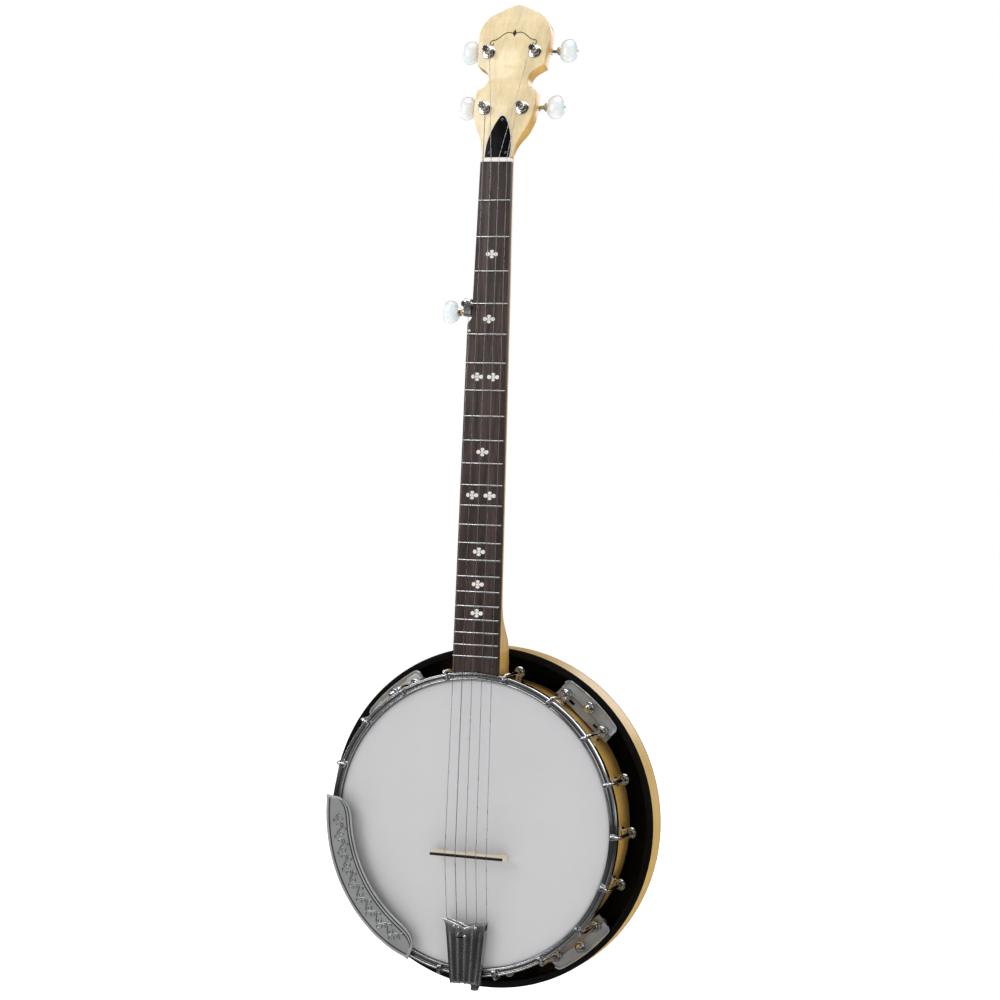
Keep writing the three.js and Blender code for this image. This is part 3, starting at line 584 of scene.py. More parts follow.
def frosted_skin(name, colour):
    """Clear film sprayed on its inside with a pale matt coat."""
    recipe = Recipe(name, roughness=0.5, ior=1.45, base_color=(*colour[:3], 1))
    spray = recipe.noise(recipe.coordinates((1400, 1400, 1400)), 1.0, 2.0, 0.6)
    mottle = recipe.noise(recipe.coordinates((14, 14, 14)), 1.0, 4.0, 0.55)
    tone = recipe.ramp(mottle, (0.3, darker(colour, 0.965)), (0.7, colour[:3]))
    recipe.set("Base Color", recipe.mix(0.1, tone, recipe.ramp(spray, (0.35, 0.7), (0.6, 1.0)), "MULTIPLY"))
    recipe.set("Roughness", recipe.between(mottle, 0.44, 0.58))
    recipe.set("Normal", recipe.bump(spray, 0.12, 0.03))
    return recipe.material


def pearloid(name, colour):
    """Pearl plastic: drifting flakes that change tone from one to the next."""
    recipe = Recipe(name, roughness=0.16, coat_weight=0.7, coat_roughness=0.06, subsurface_weight=0.15)
    recipe.shader.inputs["Subsurface Scale"].default_value = 0.002
    drift = recipe.noise(recipe.coordinates((70, 70, 70)), 1.0, 3.0, 0.6, 1.2)
    flakes = recipe.cells(recipe.coordinates((190, 190, 190)), 1.0, output="Color")
    cool = recipe.ramp(
        drift, (0.3, (colour[0] * 0.80, colour[1] * 0.90, colour[2] * 0.93)), (0.6, colour[:3])
    )
    recipe.set("Base Color", recipe.mix(0.035, cool, flakes, "MULTIPLY"))
    recipe.set("Normal", recipe.bump(drift, 0.05, 0.1))
    return recipe.material


def shell_inlay(name, colour):
    recipe = Recipe(name, roughness=0.2, coat_weight=0.5)
    drift = recipe.noise(recipe.coordinates((260, 260, 260)), 1.0, 3.0, 0.6, 1.5)
    tone = recipe.ramp(
        drift, (0.3, (0.50, 0.62, 0.58)), (0.45, colour[:3]), (0.6, (0.88, 0.76, 0.74)), (
            0.75, (0.60, 0.66, 0.62)
        )
    )
    recipe.set("Base Color", tone)
    recipe.set("Roughness", recipe.between(drift, 0.14, 0.3))
    return recipe.material


def plain_stuff(name, colour, roughness, grain=300.0, depth=0.04, spread=0.12):
    """Bone, ebony, felt and paint: a solid colour with a fine tooth and a slow drift of tone."""
    recipe = Recipe(name, roughness=roughness)
    tooth = recipe.noise(recipe.coordinates((grain, grain, grain)), 1.0, 3.0, 0.6)
    drift = recipe.noise(recipe.coordinates((60, 60, 20)), 1.0, 4.0)
    recipe.set("Base Color", recipe.ramp(drift, (0.3, darker(colour, 1 - spread)), (0.7, colour[:3])))
    recipe.set("Roughness", recipe.between(tooth, roughness * 0.85, roughness * 1.2))
    recipe.set("Normal", recipe.bump(tooth, 0.2, depth))
    return recipe.material


def wound_wire(name, colour, pitch):
    """String wire. A pitch in millimetres draws the wrap of a wound string."""
    recipe = Recipe(name, metallic=1.0, roughness=0.28, base_color=(*colour[:3], 1))
    marks = recipe.noise(recipe.coordinates((300, 300, 60)), 1.0, 3.0)
    recipe.set("Base Color", recipe.ramp(marks, (0.3, darker(colour, 0.8)), (0.6, colour[:3])))
    recipe.set("Roughness", recipe.between(marks, 0.2, 0.38))
    if pitch:
        turns = recipe.wave(recipe.coordinates((1, 1, 1)), 0.314 / (pitch * MM), 0.0, "Z", 0.0)
        recipe.set("Normal", recipe.bump(turns, 0.6, 0.06))
    return recipe.material


class Finishes:
    """Every finish on the banjo, made once from the colours in the panel."""

    made = {}

    @classmethod
    def get(cls, name):
        if name not in cls.made:
            cls.made[name] = cls.make(name)
        return cls.made[name]

    @staticmethod
    def make(name):
        colours = bpy.context.scene.banjo_colours
        maple = tuple(colours.maple)
        golden = tuple(colours.golden_maple)
        amber = tuple(colours.amber_maple)
        chrome = tuple(colours.chrome)
        recipes = {
            "neck_maple": lambda: lacquered_maple(name, darker(amber, 0.95), "Z", 0.25),
            "face_maple": lambda: lacquered_maple(name, maple, "Z", 0.22),
            "side_maple": lambda: lacquered_maple(name, golden, "Y", 0.2, 0.12),
            "back_maple": lambda: lacquered_maple(name, golden, "Z", 0.6),
            "rim_maple": lambda: lacquered_maple(name, amber, "Y", 0.15, 0.25),
            "bridge_maple": lambda: plain_stuff(name, (0.86, 0.74, 0.58), 0.5, 500, 0.05, 0.15),
            "rosewood": lambda: rosewood(name, tuple(colours.rosewood)),
            "ebony": lambda: plain_stuff(name, (0.012, 0.010, 0.009), 0.35, 700, 0.03, 0.4),
            "bone": lambda: plain_stuff(name, (0.86, 0.84, 0.76), 0.35, 250, 0.02, 0.06),
            "white_binding": lambda: plain_stuff(name, (0.88, 0.87, 0.82), 0.3, 250, 0.02, 0.05),
            "black_lacquer": lambda: black_lacquer(name, tuple(colours.black)),
            "black_binding": lambda: black_lacquer(name, (0.004, 0.004, 0.004)),
            "chrome": lambda: plated(name, chrome, 0.07),
            "satin": lambda: plated(name, darker(chrome, 0.66), 0.3, 0.7),
            "lid": lambda: fluted(name, chrome, -13.8, -11.6),
            "nickel": lambda: plated(name, darker(chrome, 0.92), 0.16),
            "brass": lambda: plated(name, (0.72, 0.52, 0.22), 0.18),
            "steel": lambda: plated(name, (0.46, 0.46, 0.47), 0.22),
            "skin": lambda: frosted_skin(name, tuple(colours.skin)),
            "pearl": lambda: pearloid(name, tuple(colours.pearl)),
            "shell": lambda: shell_inlay(name, (0.78, 0.80, 0.74)),
            "brushed": lambda: brushed(name, tuple(colours.armrest), (0, 0.6, 0)),
            "string": lambda: wound_wire(name, (0.74, 0.74, 0.75), 0),
            "bass_string": lambda: wound_wire(name, (0.50, 0.47, 0.42), 0.16),
            "dark_screw": lambda: plated(name, (0.16, 0.17, 0.18), 0.3),
            "amber_washer": lambda: plain_stuff(name, (0.85, 0.50, 0.10), 0.3, 250, 0.02, 0.1),
            "cork": lambda: plain_stuff(name, (0.32, 0.20, 0.11), 0.85, 700, 0.15, 0.35),
        }
        return recipes[name]()


# ---------------------------------------------------------------- sizes and colours a user may change
class BanjoSizes(bpy.types.PropertyGroup):
    """Small sizes that the design frame leaves open."""

    fret_crown: FloatProperty(
        name="Fret crown", description="Height of a fret above the board", default=0.00105, unit="LENGTH"
    )
    veneer: FloatProperty(
        name="Face veneer", description="Thickness of the peghead's face veneer", default=0.0011,
        unit="LENGTH"
    )
    binding: FloatProperty(
        name="Binding", description="Depth of the resonator's front binding", default=0.0020, unit="LENGTH"
    )
    winding_turns: IntProperty(
        name="Post windings", description="Turns of string round each tuner post", default=3, min=1, max=6
    )
    button_squareness: FloatProperty(
        name="Button squareness", description="1 is an ellipse, less is fuller at its corners", default=0.82
    )


class BanjoColours(bpy.types.PropertyGroup):
    """Linear base colours of the main finishes."""

    maple: FloatVectorProperty(
        name="Maple", description="Pale maple of the peghead's face", subtype="COLOR", default=(
            0.90, 0.73, 0.43
        )
    )
    golden_maple: FloatVectorProperty(
        name="Golden maple", description="Maple of the resonator", subtype="COLOR", default=(0.76, 0.49, 0.15)
    )
    amber_maple: FloatVectorProperty(
        name="Amber maple", description="Deeper maple of the rim and neck", subtype="COLOR", default=(
            0.84, 0.50, 0.13
        )
    )
    rosewood: FloatVectorProperty(
        name="Rosewood", description="Fingerboard", subtype="COLOR", default=(0.045, 0.026, 0.021)
    )
    black: FloatVectorProperty(
        name="Black", description="Lacquer inside the resonator", subtype="COLOR", default=(
            0.002, 0.002, 0.002
        )
    )
    chrome: FloatVectorProperty(
        name="Chrome", description="Plated hardware", subtype="COLOR", default=(0.78, 0.79, 0.80)
    )
    skin: FloatVectorProperty(
        name="Skin", description="Frosted drum head", subtype="COLOR", default=(0.56, 0.56, 0.57)
    )
    pearl: FloatVectorProperty(
        name="Pearl", description="Tuner buttons", subtype="COLOR", default=(0.92, 0.95, 0.95)
    )
    armrest: FloatVectorProperty(
        name="Armrest", description="Brushed armrest", subtype="COLOR", default=(0.62, 0.625, 0.63)
    )


# ---------------------------------------------------------------- neck and fingerboard
def fret_distance(fret):
    return SCALE_LENGTH * (1 - 2 ** (-fret / 12))


def right_edge(distance):
    return NUT_HALF + (END_HALF - NUT_HALF) * distance / BOARD_LENGTH


def left_edge(distance):
    if distance <= STEP_START:
        return right_edge(distance)
    if distance >= STEP_END:
        return STEP_HALF + (END_HALF - STEP_HALF) * (distance - STEP_END) / (BOARD_LENGTH - STEP_END)
    blend = (1 - cos(pi * (distance - STEP_START) / (STEP_END - STEP_START))) / 2
    return right_edge(STEP_START) + (STEP_HALF - right_edge(STEP_START)) * blend


def neck_ring(distance, depth, squareness, count=40):
    """A D-shaped ring, flat where the fingerboard lies."""
    top = BOARD_THICK + 0.15
    left, right = left_edge(max(distance, 0)), right_edge(max(distance, 0))
    around = count * 3 // 4
    points = []
    for i in range(around + 1):
        turn = pi * i / around
        half = right if cos(turn) > 0 else left
        x = half * (1 if cos(turn) > 0 else -1) * abs(cos(turn)) ** squareness
        points.append((x, top + (depth - top) * sin(turn) ** squareness, -distance))
    flat = count - around
    for i in range(1, flat):
        points.append((-left + (left + right) * i / flat, top, -distance))
    return points


def peghead_outline(inset=0.0):
    """The peghead's outline: a throat, lower lobes, round waists, and upper lobes under a blunt gable."""
    throat = flowing(
        [(15.9, 2), (16.5, 8.5), (19.6, 20.5), (26.4, 35), (30.2, 47), (31.0, 60), (30.7, 72.0)], 4
    )
    waist = flowing([(30.2, 72.9), (24.0, 76.1), (20.3, 84.0), (23.6, 92.6), (33.9, 99.6)], 5)
    crown = flowing(
        [(34.7, 100.6), (35.2, 112), (36.8, 126), (35.9, 138.5), (28.6, 150.6), (14.0, 158.9), (2.6, 163.6)],
        5
    )
    right = [(x - inset, z - (inset if z > 150 else 0)) for x, z in throat + waist + crown]
    return [*right, (0, 164.1 - inset), *[(-x, z) for x, z in reversed(right)]]


def build_neck():
    stations = [(-16, 12.5, 1.0), (-11, 15.9, 1.0), (-5, 18.5, 1.0), (0, 19.5, 1.0), (60, 20, 1.0)]
    stations += [(STEP_START + (STEP_END - STEP_START) * i / 8, 21, 1.0) for i in range(9)]
    stations += [(300, 22.5, 1.0), (420, 24, 1.0), (428, 24.9, 0.97), (434, 26.2, 0.93), (439, 28.2, 0.89)]
    stations += [(444, 31.2, 0.83), (449, 35, 0.76), (453, 38.6, 0.72), (458, 42.4, 0.66), (464, 45.6, 0.6)]
    stations += [(474, 48.2, 0.56), (486, 49.2, 0.55), (505, 49.5, 0.55)]
    neck = place(loft("neck_wood", [neck_ring(*station) for station in stations]), NECK)
    veneer = bpy.context.scene.banjo_sizes.veneer / MM
    head = place(
        round_throat(slab("peghead_body", peghead_outline(0.1), PEG_THICK, veneer * 0.8, 0.9, 3)), PEG
    )
    modifier(neck, "BOOLEAN", operation="UNION", object=head, solver="EXACT")
    bpy.data.objects.remove(head)
    seat = place(block("nut_seat", (-26, -20, -5), (26, BOARD_THICK + 0.3, NUT_TOP + 0.3)), NECK)
    rim = place(drum("rim_cut", RIM_OUTER + 0.4, -60, 120, sides=ROUND), POT)
    hoop = place(drum("hoop_cut", HOOP_OUTER + 0.5, -60, 12, sides=ROUND), POT)
    cut(neck, seat, rim, hoop)
    smooth(neck, 30)
    finished(neck, "neck_maple", "frame", "maple", "neck")
    face = place(slab("peghead_veneer", peghead_outline(0.0), veneer, 0, 0.25), PEG)
    finished(face, "face_maple", "frame", "maple")
    flourish = place(peghead_ornament(), PEG)
    finished(flourish, "ebony", "frame", "black_plastic")


def round_throat(head):
    """Draws the back of the peghead in towards the nut, so that its throat runs on into the neck's round
    back."""
    throat, round_depth = 30.0, 20.0
    for vertex in head.data.vertices:
        depth, height = vertex.co.y / MM, vertex.co.z / MM
        if height < throat:
            roundness = sqrt(max(0.0, 1 - (max(depth, 0.0) / round_depth) ** 2))
            straight = max(0.0, height / throat) ** 1.5
            vertex.co.x *= roundness + (1 - roundness) * straight
    return head


def peghead_ornament():
    """A plain scrolled flourish set into the veneer above the tuners."""
    parts = []
    for side in (-1, 1):
        stem = [
            (side * (2 + 21 * t), -0.02, 133.5 - 7.5 * t**1.6 + 1.6 * sin(6 * t)) for t in [i / 22
            for i in range(23)]
        ]
        parts.append(tube("stem", stem, 0.42, 2))
        curl = []
        for i in range(26):
            turn = i / 25 * 1.6 * pi
            radius = 3.4 * (1 - i / 32)
            curl.append((side * (21.5 + radius * sin(turn)), -0.02, 122.8 + radius * cos(turn)))
        parts.append(tube("curl", curl, 0.36, 2))
    diamond = [(0, 129.6), (2.2, 133.6), (0, 137.6), (-2.2, 133.6)]
    parts.append(slab("diamond", diamond, 0.3, -0.12))
    return join("peghead_flourish", parts)


def board_outline():
    shoulder = [STEP_START + (STEP_END - STEP_START) * i / 8 for i in range(9)]
    left = [(-left_edge(distance), -distance) for distance in shoulder]
    end = []
    nut_above_head = (NECK_TO_POT @ Vector((0, 0, 0))).z / MM
    for i in range(17):
        x = -END_HALF + 0.05 + (2 * END_HALF - 0.1) * i / 16
        end.append((x, sqrt((HOOP_OUTER + 0.4) ** 2 - x**2) - nut_above_head))
    return [(NUT_HALF, 0), (-NUT_HALF, 0), *left, *end]


def petals(middle, width, height):
    """Four leaf-shaped petals that meet at a small round eye."""
    parts = []
    for turn, reach in ((0, width / 2), (pi / 2, height / 2), (pi, width / 2), (3 * pi / 2, height / 2)):
        leaf = []
        for i in range(20):
            t = 2 * pi * i / 20
            along = reach * (0.58 - 0.42 * cos(t))
            aside = 0.23 * height * sin(t) * (1 - 0.35 * cos(t))
            x, z = along * cos(turn) - aside * sin(turn), along * sin(turn) + aside * cos(turn)
            leaf.append((middle[0] + x, middle[1] + z))
        parts.append(slab("mark", leaf, 0.4, -0.06))
    parts.append(drum("mark", 0.1 * width, -0.06, 0.4, "Y", middle, 14))
    return parts


INLAYS = {3: [0], 5: [0], 7: [-8.2, 8.2], 10: [0], 12: [-9, 9], 15: [0], 17: [0], 19: [0]}


def build_fingerboard():
    board = place(slab("fingerboard_wood", board_outline(), BOARD_THICK, 0, 0.3), NECK)
    finished(board, "rosewood", "frame", "fingerboard", "fingerboard")
    crown = bpy.context.scene.banjo_sizes.fret_crown / MM
    frets = []
    for fret in range(1, FRETS + 1):
        distance = fret_distance(fret)
        low, high = -left_edge(distance) + 0.15, right_edge(distance) - 0.15
        wire = drum("fret", 1.0, low, high, "X", (0, -distance), 14, 0.25)
        choose(wire)
        wire.scale = (1, crown, 0.95)
        bpy.ops.object.transform_apply(scale=True)
        wire.data.transform(Matrix.Translation((0, 0, -distance * MM * 0.05)))
        frets.append(wire)
    finished(place(smooth(join("frets", frets)), NECK), "nickel", "frame", "chrome")
    marks = []
    for fret, across in INLAYS.items():
        middle = -(fret_distance(fret) + fret_distance(fret - 1)) / 2
        for x in across:
            distance = -middle
            centre = (right_edge(distance) - left_edge(distance)) / 2
            marks += petals((centre + x, middle), 12.4, 8.2)
    finished(place(join("inlays", marks), NECK), "shell", "frame", "pearl")
    pip_z = -(fret_distance(5) - 3.3)
    pip = place(drum("fifth_pip", 1.3, 1.0, -1.9, "Y", (-19.9, pip_z), 20, 0.4), NECK)
    finished(pip, "bone", "frame", "bone")


def build_nut():
    nut = block("nut_bone", (-NUT_HALF + 0.2, -2.0, 0.15), (NUT_HALF - 0.2, BOARD_THICK, NUT_TOP), 0.6, 3)
    slots = []
    for string in (1, 2, 3, 4):
        x = (2.5 - string) * STRING_NUT
        slots.append(drum("slot", GAUGES[string] + 0.12, -2, 7, "Z", (x, -2.15), 12))
    cut(nut, *slots)
    finished(place(smooth(nut), NECK), "bone", "frame", "bone", "nut")


def bell_outline(half, foot, tip):
    """A flat-footed bell: straight sides that lean in and close to a round point."""
    shape = [
        (half, foot), (half, foot + 12), (half - 2.2, foot + 24), (half - 6.0, foot + 35), (2.6, tip - 1.6),
        (0, tip)
    ]
    right = flowing(shape, 5)
    return right + [(-x, z) for x, z in reversed(right[:-1])]


def slotted_screw(name, x, z, radius, front, cross=True):
    """A domed screw head facing -Y with a cross or a slot."""
    screw = turned(
        name, [
            (0, front), (radius * 0.6, front + 0.1), (radius, front + 0.55), (radius, front + 1.2),
            (0, front + 1.2)
        ], 20
    )
    reach = radius * 0.72
    width = radius * 0.16
    cutters = [block("groove", (-reach, front - 1, -width), (reach, front + 0.45, width))]
    if cross:
        cutters.append(block("groove", (-width, front - 1, -reach), (width, front + 0.45, reach)))
    cut(screw, *cutters)
    return place(screw, Matrix.Translation((x * MM, 0, z * MM)))


TRUSS_SHIFT = 0.9


def build_truss_cover():
    aside = PEG @ Matrix.Translation((TRUSS_SHIFT * MM, 0, 0))
    under = place(slab("truss_cover_edge", bell_outline(13.3, 0.9, 46.2), 0.0, -0.9, 0.2), aside)
    finished(under, "white_binding", "frame", "bone")
    top = place(slab("truss_cover", bell_outline(12.5, 1.3, 45.0), -0.6, -1.9, 0.4, 3), aside)
    finished(top, "black_lacquer", "frame", "black_plastic", "truss_rod_cover")
    screws = [slotted_screw("screw", x, z, 1.5, -2.5) for x, z in ((0, 40.5), (-8.4, 5.6), (8.4, 5.6))]
    finished(place(join("truss_cover_screws", screws), aside), "dark_screw", "frame", "chrome")


# ---------------------------------------------------------------- tuners
def rounded_rectangle(low, high, radius, steps=4):
    (x0, z0), (x1, z1) = low, high
    corners = [
        (x1 - radius, z1 - radius, 0), (x0 + radius, z1 - radius, 90), (x0 + radius, z0 + radius, 180),
        (x1 - radius, z0 + radius, 270)
    ]
    points = []
    for x, z, start in corners:
        for i in range(steps + 1):
            turn = radians(start + 90 * i / steps)
            points.append((x + radius * cos(turn), z + radius * sin(turn)))
    return points


def build_tuner(string):
    side, (x, z) = PEG_STRINGS[string]
    px = side * x
    name = f"tuner_{string}"
    back = PEG_THICK + 0.2
    plate_part = slab(
        "plate", rounded_rectangle((px - 9, z - 10.5), (px + 9, z + 18.5), 2.6), back + 1.2, back, 0.3
    )
    case = block("case", (px - 6.8, back + 0.8, z - 5.5), (px + 6.8, back + 10.3, z + 15.5), 2.2, 4)
    cap = drum("cap", 4.4, back + 10, back + 11, "Y", (px, z), 32, 0.35)
    collar_from, collar_to = sorted((side * (x + 6.6), side * (x + 10.4)))
    collar = drum("collar", 3.6, collar_from, collar_to, "X", (WORM_BACK, z + WORM_UP), 24, 0.4)
    screws = []
    for sx, sz in ((-6.6, -8.6), (6.6, -8.6), (-6.6, 16.6), (6.6, 16.6)):
        screw = slotted_screw("screw", 0, 0, 1.5, -1.2)
        spot = Matrix.Translation(((px + sx) * MM, (back + 1.1) * MM, (z + sz) * MM))
        screws.append(place(screw, spot @ Matrix.Rotation(pi, 4, "Z")))
    sleeve = drum("sleeve", 4.7, -1, back + 1, "Y", (px, z), 32)
    washer = turned(
        "washer", [(3.5, -0.1), (6.7, -0.1), (6.7, -0.6), (6.2, -0.95), (5.6, -1.0), (3.5, -1.0)], 40
    )
    nut_part = drum("bushing_nut", 5.6, -1.0, -2.9, "Y", (0, 0), 6, 0.35)
    cut(nut_part, drum("bore", 3.5, -5, 2, "Y", (0, 0), 32))
    front = place(join("front", [washer, nut_part]), Matrix.Translation((px * MM, 0, z * MM)))
    housing = join(f"{name}_case", [plate_part, case, cap, collar, sleeve, front, *screws])
    finished(place(smooth(housing), PEG), "chrome", "frame", "chrome", f"{name}_housing")
    build_post(name, px, z, PEG, -11.5, PEG_THICK + 7.9, 3.0, side, GAUGES[string])
    build_button(name, side, x + 2, 42 if z > 100 else 36.8, WORM_BACK, z + WORM_UP, 18.5, 12.0, 7.4, PEG)


def build_post(name, px, z, where, tip, foot, radius, side, gauge):
    """A waisted string post with a slotted head, and the turns of its string."""
    profile = [(0, tip), (radius - 0.2, tip), (radius + 0.35, tip + 0.5), (radius + 0.35, tip + 1.3)]
    profile += [
        (radius - 0.3, tip + 2.4), (radius - 0.7, tip + 3.6), (radius - 0.6, tip + 5.2), (radius, tip + 6.6)
    ]
    profile += [(radius, foot), (0, foot)]
    post = turned(f"{name}_pin", profile, 32)
    cut(post, block("slot", (-0.55, tip - 1, -9), (0.55, tip + 1.9, 9)))
    cut(post, drum("eye", 0.8, -9, 9, "Z", (0, tip + 4), 12))
    post = place(smooth(post), where @ Matrix.Translation((px * MM, 0, z * MM)))
    finished(post, "chrome", f"{name}_post", "chrome", f"{name}_post")
    turns = bpy.context.scene.banjo_sizes.winding_turns
    coil = []
    steps = turns * 20
    for i in range(steps + 1):
        angle = -side * 2 * pi * turns * i / steps + (pi if side > 0 else 0)
        reach = radius - 0.45 + gauge
        coil.append((reach * cos(angle), tip + 4.9 - 2.1 * gauge * turns * i / steps, reach * sin(angle)))
    winding = tube(f"{name}_winding", coil, gauge, 2)
    winding = place(winding, where @ Matrix.Translation((px * MM, 0, z * MM)))
    finished(winding, "string", f"{name}_post", "string_wire")


def on_shaft(piece, side, y, z):
    """Sets a piece that was turned about +X on a knob's shaft, facing the side that the knob is on."""
    spot = Matrix.Translation((0, y * MM, z * MM))
    piece.data.transform(spot if side > 0 else spot @ Matrix.Rotation(pi, 4, "Z"))


def build_button(name, side, shaft_from, start, y, z, length, radius, flat, where):
    """A flattened oval pearl button on a waisted metal stem, with a small screw in its end."""
    squareness = bpy.context.scene.banjo_sizes.button_squareness
    rings = []
    levels, sides, corner = 18, 28, 0.9
    for level in range(levels + 1):
        turn = pi * (0.02 + 0.96 * level / levels)
        reach = sin(turn) ** squareness
        along = start + length * (1 - cos(turn)) / 2
        ring = []
        for i in range(sides):
            angle = 2 * pi * i / sides
            across = abs(cos(angle)) ** corner * (1 if cos(angle) > 0 else -1)
            up = abs(sin(angle)) ** corner * (1 if sin(angle) > 0 else -1)
            ring.append((side * along, y + flat * reach * across, z + radius * reach * up))
        rings.append(ring)
    button = place(smooth(loft(f"{name}_button", rings), 60), where)
    finished(button, "pearl", f"{name}_knob", "pearl", f"{name}_knob")
    gap = start - shaft_from
    profile = [
        (0, shaft_from), (2.0, shaft_from), (2.0, start - 0.45 * gap * 0.5), (1.75, start - 3.2),
        (2.1, start - 2.4)
    ]
    profile += [
        (3.6, start - 1.9), (4.1, start - 1.0), (4.1, start + 0.6), (3.2, start + 1.6), (0, start + 1.6)
    ]
    stem = turned(f"{name}_stem", profile, 28, "X")
    on_shaft(stem, side, y, z)
    finished(place(smooth(stem), where), "chrome", f"{name}_knob", "chrome")
    end = start + length
    tip_profile = [(0, end - 1.2), (1.5, end - 1.2), (1.5, end - 0.1), (1.0, end + 0.15), (0, end + 0.15)]
    tip = turned(f"{name}_button_screw", tip_profile, 20, "X")
    on_shaft(tip, side, y, z)
    finished(place(smooth(tip), where), "dark_screw", f"{name}_knob", "chrome")


def build_fifth_tuner():
    x, z = FIFTH_POST
    y = 9.0
    worm = z - 7.0
    case = block("case", (x - 5, y - 6, -149.4), (x + 4.4, y + 6, z + 6), 1.8, 4)
    neckpart = drum("shank", 2.4, x + 4, -10.2, "X", (y + 0.4, -141), 20)
    tower = turned("tower", [(0, -0.5), (3.9, -0.5), (4.6, 0.2), (4.6, 8), (0, 8)], 32)
    place(tower, Matrix.Translation((x * MM, 0, z * MM)))
    hex_part = drum("hex", 4.3, -0.4, -1.6, "Y", (x, z), 6, 0.3)
    cut(hex_part, drum("bore", 2.6, -5, 2, "Y", (x, z), 24))
    ring = drum("ring", 3.7, x - 6.2, x - 4.8, "X", (y, worm), 24, 0.3)
    housing = smooth(join("tuner_5_case", [case, neckpart, tower, hex_part, ring]))
    finished(place(housing, NECK), "chrome", "frame", "chrome", "tuner_5_housing")
    washer = drum("tuner_5_washer", 3.4, x - 7.6, x - 6.3, "X", (y, worm), 28, 0.4)
    finished(place(washer, NECK), "amber_washer", "tuner_5_knob", "brass")
    build_post("tuner_5", x, z, NECK, -9, y + 2.8, 2.4, -1, GAUGES[5])
    build_button("tuner_5", -1, -x - 1, 34.5, y, worm, 18, 11.0, 6.8, NECK)


# ---------------------------------------------------------------- pot
def hook_angles():
    """The angle of each hook round the pot, from where its node stands."""
    angles = {}
    for number in range(1, 19):
        low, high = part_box(f"hook_{number:02d}")
        middle = POT.inverted() @ ((low + high) / 2)
        angles[f"hook_{number:02d}"] = atan2(middle.x, middle.z) * 180 / pi
    return angles


def build_skin():
    collar = 140.2
    inner = collar - 0.6
    film = [
        (0, -HEAD_SKIN), (60, -HEAD_SKIN), (120, -HEAD_SKIN), (inner - 1.5, -HEAD_SKIN),
        (inner - 0.4, -HEAD_SKIN + 0.15)
    ]
    film += [(collar, 0.5), (collar, 8), (inner, 8), (inner, 1.0), (inner - 1.5, 0), (0, 0)]
    skin = place(turned("drum_skin", film, ROUND), POT)
    finished(skin, "skin", "frame", "drum_skin", "head")
    band = [(inner, 7.8), (142.6, 7.8), (142.6, 11.3), (inner, 11.3)]
    finished(place(turned("flesh_hoop", band, ROUND, edge=0.4), POT), "nickel", "frame", "chrome")


def build_hoop():
    front = HOOP_FRONT
    profile = [
        (HOOP_INNER, front + 0.3), (HOOP_INNER + 0.3, front), (HOOP_INNER + 1.0, front),
        (HOOP_INNER + 1.5, front + 0.5)
    ]
    profile += [
        (HOOP_INNER + 1.9, front + 2.0), (HOOP_OUTER - 2.2, front + 2.0), (HOOP_OUTER - 1.7, front + 0.5)
    ]
    profile += [
        (HOOP_OUTER - 1.2, front), (HOOP_OUTER - 0.4, front), (HOOP_OUTER, front + 0.4),
        (HOOP_OUTER, HOOP_BACK - 3.5)
    ]
    profile += [(HOOP_OUTER - 0.9, HOOP_BACK - 2.6), (HOOP_OUTER - 0.9, HOOP_BACK), (HOOP_INNER, HOOP_BACK)]
    hoop = place(turned("grooved_hoop", profile, ROUND, edge=0.18), POT)
    finished(hoop, "chrome", "frame", "chrome", "tension_hoop")


def build_hooks():
    top = HOOP_FRONT - 2.0
    bend = [
        (0, HOOP_FRONT + 1.7, 143.8), (0, HOOP_FRONT - 0.4, 143.8), (0, top + 0.35, 144.3), (0, top, 145.6),
        (0, top, 147.2)
    ]
    bend += [(0, top + 0.25, 149.0), (0, top + 1.3, HOOK_RADIUS - 0.15), (0, top + 3.2, HOOK_RADIUS)]
    path = flowing(bend, 4) + [(0, 20, HOOK_RADIUS), (0, 52.5, HOOK_RADIUS)]
    shank = tube("shank", path, 1.75, 4)
    knuckle = block("knuckle", (-2.3, top - 1.9, 142.2), (2.3, HOOP_FRONT + 0.2, 147.4), 1.1, 3)
    nut_part = drum("nut", 4.2, SHOE_BACK + 0.2, 49, "Y", (0, HOOK_RADIUS), 6, 0.35)
    washer = drum("washer", 4.6, SHOE_BACK + 0.1, SHOE_BACK + 0.9, "Y", (0, HOOK_RADIUS), 28, 0.2)
    tip = drum("tip", 3.0, 49, 50.6, "Y", (0, HOOK_RADIUS), 24, 0.5)
    pattern = smooth(join("hook_pattern", [shank, knuckle, nut_part, washer, tip]))
    for node, angle in hook_angles().items():
        copy_of = copy(pattern, node.replace("hook", "bent_hook"), about(angle))
        finished(copy_of, "chrome", "frame", "chrome", node)
    bpy.data.objects.remove(pattern)


